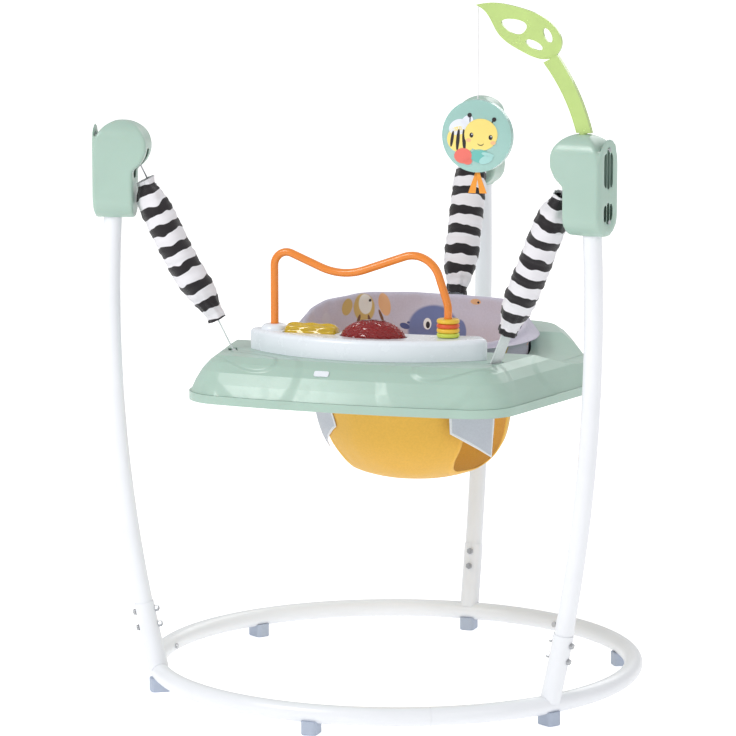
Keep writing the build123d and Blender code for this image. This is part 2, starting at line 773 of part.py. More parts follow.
# blank badge on the front slope
(low_part, low_inset), (high_part, high_inset) = tray_profile[2:4]
badge_z = tray_seam + (tray_deck - tray_seam) * (low_part + high_part) / 2
badge_y = ring_y - tray_front + seam_step + (low_inset + high_inset) / 2
badge_tilt = atan2(high_inset - low_inset, (high_part - low_part) * (tray_deck - tray_seam))
badge_plane = Plane(origin=(badge_x, badge_y, badge_z), x_dir=(1, 0, 0),
                    z_dir=(0, -cos(badge_tilt), sin(badge_tilt)))
with BuildPart() as tray_badge:
    with BuildSketch(badge_plane.offset(badge_gap)):
        RectangleRounded(badge_size[0], badge_size[1], 3)
    extrude(amount=badge_size[2])
write(tray_badge, "tray_badge")

# ================================================================ rotating seat
glide_radius = (opening_radius + 1 + seat_flange_radius) / 2
with BuildPart() as seat_glides:
    with BuildSketch(Plane.XY.offset(seat_flange_z - glide_height - run_gap)):
        with Locations(seat_center):
            with PolarLocations(glide_radius, glide_count):
                RectangleRounded(7, 18, 2)
    extrude(amount=glide_height)
write(seat_glides, "seat_glides")


def turned(outline):
    """Turns a closed outline of (radius, height) points about the seat's axis."""
    seat_plane = Plane(origin=(*seat_center, 0), x_dir=(1, 0, 0), z_dir=(0, -1, 0))
    with BuildSketch(seat_plane) as profile:
        with BuildLine():
            Polyline(outline, close=True)
        make_face()
    revolve(profile.sketch, axis=seat_axis)


with BuildPart() as seat_ring:
    outside = seat_ring_radius
    inside = seat_ring_radius - seat_ring_wall
    flange_top = seat_flange_z + seat_flange_thickness
    turned([(inside, seat_ring_bottom), (outside, seat_ring_bottom), (outside, seat_flange_z),
            (seat_flange_radius, seat_flange_z), (seat_flange_radius, flange_top), (outside, flange_top),
            (outside, seat_ring_top), (inside, seat_ring_top)])
write(seat_ring, "seat_ring")

lining_outer = seat_ring_radius - seat_ring_wall - cloth_gap
skirt_inner = seat_ring_radius + cloth_gap
with BuildPart() as seat_lining:
    turned([(lining_outer - cloth, lining_bottom), (lining_outer, lining_bottom),
            (lining_outer, seat_ring_top + cloth_gap), (skirt_inner, seat_ring_top + cloth_gap),
            (skirt_inner, skirt_bottom), (skirt_inner + cloth, skirt_bottom),
            (skirt_inner + cloth, roll_top - 4), (skirt_inner + cloth - 4, roll_top),
            (lining_outer - cloth + 4, roll_top), (lining_outer - cloth, roll_top - 4)])
    # raised back, with a top edge that slopes down towards the front
    with BuildPart(mode=Mode.PRIVATE) as back:
        with BuildSketch(Plane.XY.offset(roll_top - 6)):
            with Locations(seat_center):
                Circle(lining_outer - cloth + backrest_thickness)
                Circle(lining_outer - cloth, mode=Mode.SUBTRACT)
        extrude(amount=backrest_top - roll_top + 6)
        slope = (backrest_top - backrest_mid) / lining_outer
        reach = 2 * lining_outer
        with BuildSketch(Plane.YZ):
            with BuildLine():
                Polyline((seat_center[1] - reach, backrest_mid - slope * reach),
                         (seat_center[1] + reach, backrest_mid + slope * reach),
                         (seat_center[1] + reach, backrest_top + 200),
                         (seat_center[1] - reach, backrest_top + 200), close=True)
            make_face()
        extrude(amount=reach, both=True, mode=Mode.SUBTRACT)
    add(back.part)
write(seat_lining, "seat_lining")


def leg_plane(side):
    """Upright plane through the seat's axis, facing out through one leg hole."""
    angle = -leg_angle if side > 0 else 180 + leg_angle
    x, y, z = direction(angle)
    return Plane(origin=(seat_center[0], seat_center[1], 0), x_dir=(-y, x, 0), z_dir=(x, y, 0))


with BuildPart() as seat_bucket:
    outside = [(r, z) for r, z in bucket_stations] + [(0, bucket_floor)]
    inside = [(0, bucket_floor + bucket_wall)]
    inside += [(r - bucket_wall, z + (bucket_wall if i > 2 else 0))
               for i, (r, z) in reversed(list(enumerate(bucket_stations)))]
    turned(outside + inside)
    for side in (-1, 1):
        with BuildSketch(leg_plane(side)):
            with Locations((0, (leg_bottom + leg_top) / 2)):
                RectangleRounded(leg_width, leg_top - leg_bottom, 38)
        extrude(amount=bucket_stations[0][0] + 20, mode=Mode.SUBTRACT)
write(seat_bucket, "seat_bucket")

flap_inner = bucket_stations[0][0] + cloth_gap + 0.4
with BuildPart() as leg_flaps:
    for side in (-1, 1):
        with BuildPart(mode=Mode.PRIVATE) as flap:
            with BuildSketch(Plane.XY.offset(leg_bottom)):
                with Locations(seat_center):
                    Circle(flap_inner + flap_thickness)
                    Circle(flap_inner, mode=Mode.SUBTRACT)
            extrude(amount=lining_bottom - cloth_gap - leg_bottom)
            with BuildSketch(leg_plane(side)):
                with BuildLine():
                    Polyline((-side * leg_width * 0.56, 506), (side * leg_width * 0.02, 506),
                             (-side * leg_width * 0.05, 432), (-side * leg_width * 0.56, 470), close=True)
                make_face()
            extrude(amount=flap_inner + 30, mode=Mode.INTERSECT)
        add(flap.part)
write(leg_flaps, "leg_flaps")

# ================================================================ toy panel and toys
toy_y = ring_y + arch_y
with BuildPart() as toy_panel:
    with BuildSketch(Plane.XY.offset(panel_z)) as panel_outline:
        with BuildLine():
            ThreePointArc((-panel_half, ring_y - panel_end_y), (0, ring_y - panel_front),
                          (panel_half, ring_y - panel_end_y))
            Line((panel_half, ring_y - panel_end_y), (panel_half - 22, ring_y - panel_back + 20))
            ThreePointArc((panel_half - 22, ring_y - panel_back + 20), (0, ring_y - panel_back),
                          (22 - panel_half, ring_y - panel_back + 20))
            Line((22 - panel_half, ring_y - panel_back + 20), (-panel_half, ring_y - panel_end_y))
        make_face()
        fillet(panel_outline.vertices(), 14)
    extrude(amount=panel_height)
    fillet(toy_panel.faces().sort_by(Axis.Z)[-1].edges(), panel_round)
    # pocket for the roller, with its axle's bearings in the end walls
    with BuildSketch(Plane.XY.offset(panel_z + well_floor)):
        with Locations((roller_x, ring_y + roller_y)):
            Rectangle(roller_length + 3, 2 * roller_radius + 4)
    extrude(amount=panel_height, mode=Mode.SUBTRACT)
    with BuildSketch(Plane.YZ.offset(roller_x)):
        with Locations((ring_y + roller_y, panel_top - roller_axle_sink)):
            Circle(roller_axle_d / 2 + 0.05)
    extrude(amount=roller_length / 2 + bearing_depth, both=True, mode=Mode.SUBTRACT)
    # well for the dome
    with BuildSketch(Plane.XY.offset(panel_z + well_floor)):
        with Locations((dome_x, ring_y + dome_y)):
            Ellipse(dome_length / 2 + 1, dome_width / 2 + 1)
    extrude(amount=panel_height, mode=Mode.SUBTRACT)
    # sockets for the arch
    with BuildSketch(Plane.XY.offset(panel_top + 1)):
        with Locations((arch_route[0][0], toy_y), (arch_route[-1][0], toy_y)):
            Circle(arch_tube / 2 + hole_gap)
    extrude(amount=-arch_seat - 2, mode=Mode.SUBTRACT)
write(toy_panel, "toy_panel")

with BuildPart() as arch:
    arch_low = panel_top - arch_seat
    route = [(arch_route[0][0], arch_low)] + [*arch_route[1:-1]] + [(arch_route[-1][0], arch_low)]
    with BuildLine(Plane(origin=(0, toy_y, 0), x_dir=(1, 0, 0), z_dir=(0, -1, 0))) as arch_line:
        FilletPolyline(*route, radius=list(arch_bends))
    with BuildSketch(Plane(origin=arch_line.line @ 0, z_dir=arch_line.line % 0)):
        annulus(arch_tube, arch_bore)
    sweep()
write(arch, "arch")

for index in range(bead_count):
    low = panel_top + 0.5 + index * (bead_thickness + bead_gap)
    with BuildPart() as bead:
        with BuildSketch(Plane.XY.offset(low)):
            with Locations((arch_route[-1][0], toy_y)):
                Circle(bead_radius)
        extrude(amount=bead_thickness)
        fillet(bead.edges(), 3)
        with BuildSketch(Plane.XY.offset(low - 1)):
            with Locations((arch_route[-1][0], toy_y)):
                Circle(arch_tube / 2 + 0.4)
        extrude(amount=bead_thickness + 2, mode=Mode.SUBTRACT)
    write(bead, f"bead_{index + 1}")

roller_plane = Plane.YZ.offset(roller_x - roller_length / 2)
roller_spot = (ring_y + roller_y, panel_top - roller_axle_sink)
with BuildPart() as roller:
    with BuildSketch(roller_plane):
        with Locations(roller_spot):
            Circle(roller_radius * 0.72)
            with PolarLocations(roller_radius * 0.62, roller_lobes):
                Circle(roller_radius * 0.38)
            Circle(roller_axle_d / 2 + 0.3, mode=Mode.SUBTRACT)
    extrude(amount=roller_length)
write(roller, "roller")

with BuildPart() as roller_axle:
    with BuildSketch(Plane.YZ.offset(roller_x)):
        with Locations(roller_spot):
            Circle(roller_axle_d / 2)
    extrude(amount=roller_length / 2 + bearing_depth - 0.5, both=True)
write(roller_axle, "roller_axle")

with BuildPart() as dome_button:
    for rise, share in ((0.0, 1.0), (0.45, 0.93), (0.82, 0.70), (1.0, 0.40)):
        with BuildSketch(Plane.XY.offset(dome_base + dome_height * rise)):
            with BuildLine():
                turns = [(k + 0.5) * 2 * pi / dome_facets for k in range(dome_facets)]
                Polyline([(dome_x + dome_length / 2 * share * cos(turn),
                           ring_y + dome_y + dome_width / 2 * share * sin(turn)) for turn in turns],
                         close=True)
            make_face()
    loft(ruled=True)
    # skirt that guides the button in its well, and stops on the well's floor
    skirt_low = panel_z + well_floor + dome_travel + seam_gap
    with BuildSketch(Plane.XY.offset(skirt_low)):
        with Locations((dome_x, ring_y + dome_y)):
            Ellipse(dome_length / 2 - 6, dome_width / 2 - 6)
    extrude(amount=dome_base - skirt_low + 2)
    # room for the return spring
    with BuildSketch(Plane.XY.offset(skirt_low)):
        with Locations((dome_x, ring_y + dome_y)):
            Circle(dome_spring_radius + 2)
    extrude(amount=dome_spring_room, mode=Mode.SUBTRACT)
write(dome_button, "dome_button")

spring_low = panel_z + well_floor + dome_spring_wire / 2 + 0.1
spring_high = skirt_low + dome_spring_room - dome_spring_wire / 2 - 0.1
with BuildPart() as dome_spring:
    with BuildLine(Plane(origin=(dome_x, ring_y + dome_y, spring_low))) as coil:
        Helix((spring_high - spring_low) / 4, spring_high - spring_low, dome_spring_radius)
    with BuildSketch(Plane(origin=coil.line @ 0, z_dir=coil.line % 0)):
        Circle(dome_spring_wire / 2)
    sweep(is_frenet=True)
write(dome_spring, "dome_spring")

# ================================================================ leaf arm, string and pendant
right_plane = post_plane("right")
lobe_spot = right_plane.from_local_coords((cap_out - lobe_inset, cap_top, 0))
leaf_plane = Plane(origin=lobe_spot, x_dir=(1, 0, 0), z_dir=(0, -1, 0))
with BuildPart() as leaf_arm:
    with BuildSketch(leaf_plane):
        with BuildLine():
            Spline((-10, stem_gap), (-31, 56), (-64, 108))
            Line((-64, 108), (-42, 120))
            Spline((-42, 120), (-9, 64), (14, stem_gap))
            Line((14, stem_gap), (-10, stem_gap))
        make_face()
    extrude(amount=stem_thickness / 2, both=True)
    with BuildSketch(leaf_plane):
        with BuildLine():
            Spline((-47, 116), (-36, 144), (-58, 173), (-103, 192), (-148, 199), (-176, 195))
            Spline((-176, 195), (-158, 183), (-139, 152), (-101, 125), (-66, 113), (-47, 116))
        make_face()
        with BuildLine():
            Spline((-134, 170), (-112, 174), (-92, 163), (-97, 154), (-124, 157), (-134, 170))
        make_face(mode=Mode.SUBTRACT)
        with Locations((-58, 150)):
            Ellipse(12, 6, rotation=-62, mode=Mode.SUBTRACT)
        with Locations((-80, 135)):
            Ellipse(15, 6, rotation=-24, mode=Mode.SUBTRACT)
    extrude(amount=leaf_thickness / 2, both=True)
    with BuildSketch(Plane.XY.offset(cap_top - stem_plug)):
        with Locations((lobe_spot.X, lobe_spot.Y)):
            Circle(stem_plug_d / 2)
    extrude(amount=stem_plug + 3)
write(leaf_arm, "leaf_arm")

hang_x = lobe_spot.X + string_x
hang_y = lobe_spot.Y
string_top = cap_top + string_rise
pendant_top = string_top - string_length
pendant_z = pendant_top - string_gap - pendant_radius

with BuildPart() as pendant_string:
    with BuildSketch(Plane.XY.offset(pendant_top)):
        with Locations((hang_x, hang_y)):
            Circle(string_d / 2)
    extrude(amount=string_length)
    fillet(pendant_string.edges().sort_by(Axis.Z)[-1], string_d / 2 - 0.05)
write(pendant_string, "pendant_string")


def pendant_shell(side):
    """Half of the pendant's shell: a shallow spherical dome with a straight rim, hollow inside."""
    half = pendant_depth / 2
    rise = half - pendant_rim
    ball = (pendant_radius ** 2 + rise ** 2) / (2 * rise)
    rim = pendant_seam / 2

    def dome(radius, x):
        return half - ball + sqrt(radius ** 2 - x ** 2)

    bore = pendant_radius - pendant_wall
    inside = ball - pendant_wall
    with BuildPart() as shell:
        with BuildSketch(Plane(origin=(hang_x, hang_y, pendant_z), x_dir=(1, 0, 0),
                               z_dir=(0, 0, side))) as profile:
            with BuildLine():
                ThreePointArc((0, half), (pendant_radius / 2, dome(ball, pendant_radius / 2)),
                              (pendant_radius, pendant_rim))
                Polyline((pendant_radius, pendant_rim), (pendant_radius, rim), (bore, rim),
                         (bore, dome(inside, bore)))
                ThreePointArc((bore, dome(inside, bore)), (bore / 2, dome(inside, bore / 2)),
                              (0, half - pendant_wall))
                Line((0, half - pendant_wall), (0, half))
            make_face()
        revolve(profile.sketch, axis=Axis((hang_x, hang_y, pendant_z), (0, 1, 0)))
    return shell


write(pendant_shell(-1), "pendant_front")
write(pendant_shell(1), "pendant_back")

with BuildPart() as pendant_tag:
    tag_top = pendant_z - pendant_radius - string_gap
    with BuildSketch(Plane(origin=(hang_x, hang_y, tag_top - tag_height / 2), z_dir=(1, 0, 0),
                           x_dir=(0, 1, 0))):
        RectangleRounded(tag_depth, tag_height, tag_depth / 2 - 0.1)
        RectangleRounded(tag_depth - 2 * tag_wall, tag_height - 2 * tag_wall, tag_depth / 2 - tag_wall - 0.1,
                         mode=Mode.SUBTRACT)
    extrude(amount=tag_width / 2, both=True)
write(pendant_tag, "pendant_tag")
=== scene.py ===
"""Looks of a hanging baby jumper: fabrics, moulded plastics, toys, light and camera."""
import math

import bmesh
import bpy
from mathutils import Matrix, Vector, noise


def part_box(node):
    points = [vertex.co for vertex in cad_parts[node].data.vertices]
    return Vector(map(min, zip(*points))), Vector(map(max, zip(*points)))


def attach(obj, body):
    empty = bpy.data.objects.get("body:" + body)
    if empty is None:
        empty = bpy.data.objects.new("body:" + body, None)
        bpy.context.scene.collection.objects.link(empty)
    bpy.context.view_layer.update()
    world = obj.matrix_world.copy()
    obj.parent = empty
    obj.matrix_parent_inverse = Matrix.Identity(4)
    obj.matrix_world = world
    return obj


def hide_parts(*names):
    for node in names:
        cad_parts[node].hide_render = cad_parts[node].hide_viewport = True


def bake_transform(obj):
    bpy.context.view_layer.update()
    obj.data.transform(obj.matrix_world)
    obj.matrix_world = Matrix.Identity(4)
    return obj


bl_info = {
    "name": "Baby jumper looks",
    "version": (1, 0, 0),
    "blender": (4, 5, 0),
    "location": "View3D > Sidebar > Jumper",
    "description": "Dresses a hanging baby jumper with fabric, plastic and toys",
    "category": "Object",
}

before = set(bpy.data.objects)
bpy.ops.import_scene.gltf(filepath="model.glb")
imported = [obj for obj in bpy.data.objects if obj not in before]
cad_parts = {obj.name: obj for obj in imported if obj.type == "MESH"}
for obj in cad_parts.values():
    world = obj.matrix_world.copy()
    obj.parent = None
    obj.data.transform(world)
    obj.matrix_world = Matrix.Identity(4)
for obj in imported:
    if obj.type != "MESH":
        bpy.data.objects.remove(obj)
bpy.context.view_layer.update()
MM = 0.001
SIDES = ("left", "right", "rear")


def middle(node):
    """Centre of a CAD node's box."""
    low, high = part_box(node)
    return (Vector(low) + Vector(high)) / 2


def ring_middle_y():
    """The floor ring's middle, front to back."""
    boxes = [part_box(f"ring_section_{side}") for side in SIDES]
    return (min(b[0][1] for b in boxes) + max(b[1][1] for b in boxes)) / 2


RING_Y = ring_middle_y()
SEAT = Vector((0, middle("seat_ring").y, 0))
ANCHORS = {"left": Vector((-0.226, RING_Y - 0.160, 0.570)), "right": Vector((0.226, RING_Y - 0.160, 0.570)),
           "rear": Vector((0, RING_Y + 0.306, 0.570))}


def tone(red, green, blue):
    """A colour given in display values from 0 to 255, as the shader's linear values."""
    def linear(c):
        c /= 255
        return c / 12.92 if c <= 0.04045 else ((c + 0.055) / 1.055) ** 2.4
    return (linear(red), linear(green), linear(blue), 1.0)


def ease(low, high, x):
    """0 below low, 1 above high, and smooth between."""
    t = min(max((x - low) / (high - low), 0), 1)
    return t * t * (3 - 2 * t)


def along(stations, x):
    """Smooth value at x through stations of (place, value)."""
    for k in range(len(stations) - 1):
        if x <= stations[k + 1][0] or k == len(stations) - 2:
            (x0, y0), (x1, y1) = stations[k], stations[k + 1]
            before = stations[max(k - 1, 0)]
            after = stations[min(k + 2, len(stations) - 1)]
            t = min(max((x - x0) / (x1 - x0), 0), 1)
            m0 = (y1 - before[1]) / (x1 - before[0]) * (x1 - x0)
            m1 = (after[1] - y0) / (after[0] - x0) * (x1 - x0)
            return ((2 * t ** 3 - 3 * t ** 2 + 1) * y0 + (t ** 3 - 2 * t ** 2 + t) * m0
                    + (3 * t ** 2 - 2 * t ** 3) * y1 + (t ** 3 - t ** 2) * m1)


# ------------------------------------------------------------------ node groups
def group(name, inputs, outputs):
    """A new shader node group with its sockets: (name, type, default) and (name, type)."""
    tree = bpy.data.node_groups.new(name, "ShaderNodeTree")
    for label, kind, value in inputs:
        socket = tree.interface.new_socket(label, in_out="INPUT", socket_type=kind)
        if value is not None:
            socket.default_value = value
    for label, kind in outputs:
        tree.interface.new_socket(label, in_out="OUTPUT", socket_type=kind)
    return tree, tree.nodes.new("NodeGroupInput"), tree.nodes.new("NodeGroupOutput")


def math_node(tree, operation, first, second=None):
    """A Math node fed by sockets or numbers. Returns its output."""
    node = tree.nodes.new("ShaderNodeMath")
    node.operation = operation
    for socket, value in zip(node.inputs, (first, second)):
        if value is None:
            continue
        if isinstance(value, (int, float)):
            socket.default_value = value
        else:
            tree.links.new(value, socket)
    return node.outputs[0]


def range_node(tree, value, low, high, to_low, to_high, smooth=True):
    """A clamped Map Range node. Returns its output."""
    node = tree.nodes.new("ShaderNodeMapRange")
    node.interpolation_type = "SMOOTHSTEP" if smooth else "LINEAR"
    tree.links.new(value, node.inputs["Value"])
    for label, number in (("From Min", low), ("From Max", high), ("To Min", to_low), ("To Max", to_high)):
        if isinstance(number, (int, float)):
            node.inputs[label].default_value = number
        else:
            tree.links.new(number, node.inputs[label])
    return node.outputs["Result"]


def noise_node(tree, vector, scale, detail=2.0, rough=0.5):
    """A Noise Texture. Returns its Fac output."""
    node = tree.nodes.new("ShaderNodeTexNoise")
    node.inputs["Detail"].default_value = detail
    node.inputs["Roughness"].default_value = rough
    if isinstance(scale, (int, float)):
        node.inputs["Scale"].default_value = scale
    else:
        tree.links.new(scale, node.inputs["Scale"])
    tree.links.new(vector, node.inputs["Vector"])
    return node.outputs["Fac"]


def grain_group():
    """Moulded or painted surface: fine grain as height, slow colour drift, handling marks."""
    tree, given, out = group("Surface grain", [("Vector", "NodeSocketVector", None),
                                               ("Scale", "NodeSocketFloat", 900.0)],
                             [("Height", "NodeSocketFloat"), ("Drift", "NodeSocketFloat"),
                              ("Handling", "NodeSocketFloat")])
    fine = noise_node(tree, given.outputs["Vector"], given.outputs["Scale"], 3.0, 0.6)
    tree.links.new(fine, out.inputs["Height"])
    drift = noise_node(tree, given.outputs["Vector"], 9.0, 3.0, 0.55)
    tree.links.new(range_node(tree, drift, 0.3, 0.7, 0.0, 1.0), out.inputs["Drift"])
    marks = noise_node(tree, given.outputs["Vector"], 38.0, 5.0, 0.65)
    tree.links.new(range_node(tree, marks, 0.42, 0.72, 0.0, 1.0), out.inputs["Handling"])
    return tree


def weave_group():
    """Woven cloth: crossing threads as height, and slubs as tone."""
    tree, given, out = group("Woven cloth", [("Vector", "NodeSocketVector", None),
                                             ("Threads", "NodeSocketFloat", 900.0)],
                             [("Height", "NodeSocketFloat"), ("Slub", "NodeSocketFloat")])
    sides = tree.nodes.new("ShaderNodeSeparateXYZ")
    tree.links.new(given.outputs["Vector"], sides.inputs[0])
    waves = []
    for axis in ("X", "Y"):
        turn = math_node(tree, "MULTIPLY", sides.outputs[axis], given.outputs["Threads"])
        wave = math_node(tree, "SINE", math_node(tree, "MULTIPLY", turn, 2 * math.pi))
        waves.append(wave)
    cross = math_node(tree, "MULTIPLY", waves[0], waves[1])
    tree.links.new(math_node(tree, "MULTIPLY", cross, 0.5), out.inputs["Height"])
    slub = noise_node(tree, given.outputs["Vector"], 260.0, 3.0, 0.7)
    tree.links.new(range_node(tree, slub, 0.3, 0.7, 0.0, 1.0), out.inputs["Slub"])
    return tree


def spot_group():
    """One printed or pressed oval: 1 inside, 0 outside, in the plane of the vector's X and Y."""
    tree, given, out = group("Printed oval",
                             [("Vector", "NodeSocketVector", None), ("Across", "NodeSocketFloat", 0.0),
                              ("Up", "NodeSocketFloat", 0.0), ("Turn", "NodeSocketFloat", 0.0),
                              ("Half width", "NodeSocketFloat", 0.01), ("Half height", "NodeSocketFloat",
                                                                        0.01),
                              ("Edge", "NodeSocketFloat", 0.05)], [("Mask", "NodeSocketFloat")])
    sides = tree.nodes.new("ShaderNodeSeparateXYZ")
    tree.links.new(given.outputs["Vector"], sides.inputs[0])
    right = math_node(tree, "SUBTRACT", sides.outputs["X"], given.outputs["Across"])
    up = math_node(tree, "SUBTRACT", sides.outputs["Y"], given.outputs["Up"])
    cosine = math_node(tree, "COSINE", given.outputs["Turn"])
    sine = math_node(tree, "SINE", given.outputs["Turn"])
    wide = math_node(tree, "ADD", math_node(tree, "MULTIPLY", right, cosine),
                     math_node(tree, "MULTIPLY", up, sine))
    high = math_node(tree, "SUBTRACT", math_node(tree, "MULTIPLY", up, cosine),
                     math_node(tree, "MULTIPLY", right, sine))
    wide = math_node(tree, "POWER", math_node(tree, "DIVIDE", wide, given.outputs["Half width"]), 2.0)
    high = math_node(tree, "POWER", math_node(tree, "DIVIDE", high, given.outputs["Half height"]), 2.0)
    reach = math_node(tree, "SQRT", math_node(tree, "ADD", wide, high))
    low = math_node(tree, "SUBTRACT", 1.0, given.outputs["Edge"])
    high_edge = math_node(tree, "ADD", 1.0, given.outputs["Edge"])
    tree.links.new(range_node(tree, reach, low, high_edge, 1.0, 0.0), out.inputs["Mask"])
    return tree


GROUPS = {}


def use_group(material, name, vector=None, **values):
    """Places a shared node group in a material, with its own values."""
    node = material.node_tree.nodes.new("ShaderNodeGroup")
    node.node_tree = GROUPS[name]
    if vector is not None:
        material.node_tree.links.new(vector, node.inputs["Vector"])
    for label, value in values.items():
        node.inputs[label.replace("_", " ")].default_value = value
    return node


def blank_material(name, **values):
    """A Principled material with constants on its shader's own sockets. Returns it, its tree and shader."""
    material = bpy.data.materials.new(name)
    material.use_nodes = True
    shader = material.node_tree.nodes["Principled BSDF"]
    for label, value in values.items():
        shader.inputs[label.replace("_", " ")].default_value = value
    return material, material.node_tree, shader


def mix_colour(tree, amount, first, second):
    """Mixes two colours, given as values or sockets, by a socket. Returns the result."""
    node = tree.nodes.new("ShaderNodeMix")
    node.data_type = "RGBA"
    tree.links.new(amount, node.inputs["Factor"])
    for label, value in (("A", first), ("B", second)):
        socket = [s for s in node.inputs if s.name == label and s.type == "RGBA"][0]
        if isinstance(value, tuple):
            socket.default_value = value
        else:
            tree.links.new(value, socket)
    return [s for s in node.outputs if s.type == "RGBA"][0]


def bump(tree, shader, height, distance, strength=1.0):
    """Feeds a height through a Bump node into the shader's normal."""
    node = tree.nodes.new("ShaderNodeBump")
    node.inputs["Distance"].default_value = distance
    node.inputs["Strength"].default_value = strength
    tree.links.new(height, node.inputs["Height"])
    tree.links.new(node.outputs["Normal"], shader.inputs["Normal"])
    return node


def shaded(colour, share):
    """A colour made darker or lighter by a share."""
    return (colour[0] * share, colour[1] * share, colour[2] * share, 1.0)


def moulded(name, colour, rough=0.32, scale=900.0, depth=0.00004, drift=0.06, **values):
    """Moulded plastic, paint or metal with grain, slow drift and handling marks."""
    material, tree, shader = blank_material(name, **values)
    place = tree.nodes.new("ShaderNodeTexCoord")
    grain = use_group(material, "grain", place.outputs["Object"], Scale=scale)
    tree.links.new(mix_colour(tree, grain.outputs["Drift"], shaded(colour, 1 - drift), colour),
                   shader.inputs["Base Color"])
    tree.links.new(range_node(tree, grain.outputs["Handling"], 0.0, 1.0, rough, rough + 0.10),
                   shader.inputs["Roughness"])
    bump(tree, shader, grain.outputs["Height"], depth)
    return material


def paint_marks(material, vector, colour, marks):
    """Lays printed ovals over a colour: (across, up, half width, half height, turn, colour).

    Lengths are in mm and turns in degrees.
    """
    tree = material.node_tree
    for across, up, wide, high, turn, ink in marks:
        spot = use_group(material, "spot", vector, Across=across * MM, Up=up * MM, Turn=math.radians(turn),
                         Half_width=wide * MM, Half_height=high * MM, Edge=0.07)
        colour = mix_colour(tree, spot.outputs["Mask"], colour, ink)
    return colour


def fabric(name, colour, threads=1100.0, rough=0.85, depth=0.0001, marks=(), uv=True, **values):
    """Woven fabric, with printed marks placed by its UV map in metres."""
    values.setdefault("Sheen_Weight", 0.25)
    material, tree, shader = blank_material(name, Roughness=rough, **values)
    place = tree.nodes.new("ShaderNodeTexCoord")
    vector = place.outputs["UV" if uv else "Object"]
    cloth = use_group(material, "weave", vector, Threads=threads)
    base = mix_colour(tree, cloth.outputs["Slub"], shaded(colour, 0.93), colour)
    if marks:
        base = paint_marks(material, vector, base, marks)
    tree.links.new(base, shader.inputs["Base Color"])
    bump(tree, shader, cloth.outputs["Height"], depth)
    return material


# ------------------------------------------------------------------ modelling helpers
def clear_selection():
    """Leaves edit mode and selects nothing."""
    if bpy.context.object and bpy.context.object.mode != "OBJECT":
        bpy.ops.object.mode_set(mode="OBJECT")
    bpy.ops.object.select_all(action="DESELECT")


def started(name):
    """Names the primitive that was just added, and applies its place to its mesh."""
    piece = bpy.context.object
    piece.name = piece.data.name = name
    bpy.ops.object.transform_apply(location=True, rotation=True, scale=True)
    return piece


def smooth(piece, angle=40):
    """Smooth shading up to an angle."""
    clear_selection()
    piece.select_set(True)
    bpy.context.view_layer.objects.active = piece
    bpy.ops.object.shade_smooth_by_angle(angle=math.radians(angle))


def finish_modifier(piece, kind, **settings):
    """Adds a modifier with its settings and applies it."""
    clear_selection()
    bpy.context.view_layer.objects.active = piece
    piece.select_set(True)
    modifier = piece.modifiers.new(kind.title(), kind)
    for label, value in settings.items():
        setattr(modifier, label, value)
    bpy.ops.object.modifier_apply(modifier=modifier.name)


def dress(piece, *materials):
    """Gives a piece its materials."""
    piece.data.materials.clear()
    for material in materials:
        piece.data.materials.append(material)


def mend(piece, reach=1e-5):
    """Merges doubles and points the faces outwards."""
    clear_selection()
    bpy.context.view_layer.objects.active = piece
    piece.select_set(True)
    bpy.ops.object.mode_set(mode="EDIT")
    bpy.ops.mesh.select_all(action="SELECT")
    bpy.ops.mesh.remove_doubles(threshold=reach)
    bpy.ops.mesh.normals_make_consistent(inside=False)
    bpy.ops.object.mode_set(mode="OBJECT")


def copy_of(node, name):
    """A merged copy of a CAD node's mesh, as a piece of its own."""
    clear_selection()
    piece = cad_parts[node].copy()
    piece.data = piece.data.copy()
    piece.parent = None
    piece.matrix_world = Matrix()
    piece.name = piece.data.name = name
    for key in list(piece.keys()):
        del piece[key]
    bpy.context.collection.objects.link(piece)
    mend(piece)
    return piece


def set_uv(piece, values):
    """Writes a UV for each vertex, in metres."""
    layer = piece.data.uv_layers.active or piece.data.uv_layers.new(name="Cloth")
    for loop in piece.data.loops:
        layer.data[loop.index].uv = values[loop.vertex_index]


def patch(name, across, up):
    """A flat grid of across by up cells, from 0 to 1 each way. Returns it."""
    clear_selection()
    bpy.ops.mesh.primitive_grid_add(x_subdivisions=across, y_subdivisions=up, size=1, location=(0.5, 0.5, 0))
    return started(name)


def shape_patch(piece, place):
    """Moves each point of a grid to place(u, v), which returns the point and its UV."""
    uvs = []
    for vertex in piece.data.vertices:
        point, uv = place(vertex.co.x, vertex.co.y)
        vertex.co = point
        uvs.append(uv)
    set_uv(piece, uvs)


def ring_patch(name, around, across, place):
    """A torus whose points go to place(turn, k), turn in radians and k the number in its section."""
    clear_selection()
    bpy.ops.mesh.primitive_torus_add(major_segments=around, minor_segments=across, major_radius=1,
                                     minor_radius=0.2)
    piece = started(name)
    uvs = []
    for index, vertex in enumerate(piece.data.vertices):
        point, uv = place(2 * math.pi * (index // across) / around, index % across)
        vertex.co = point
        uvs.append(uv)
    set_uv(piece, uvs)
    mend(piece)
    return piece


def ruffle(point, size, seed):
    """Smooth noise from -1 to 1 at a point, for folds of a size in metres."""
    return noise.noise(Vector(point) / size + Vector((seed, seed * 1.7, -seed)))


MATERIALS = {}


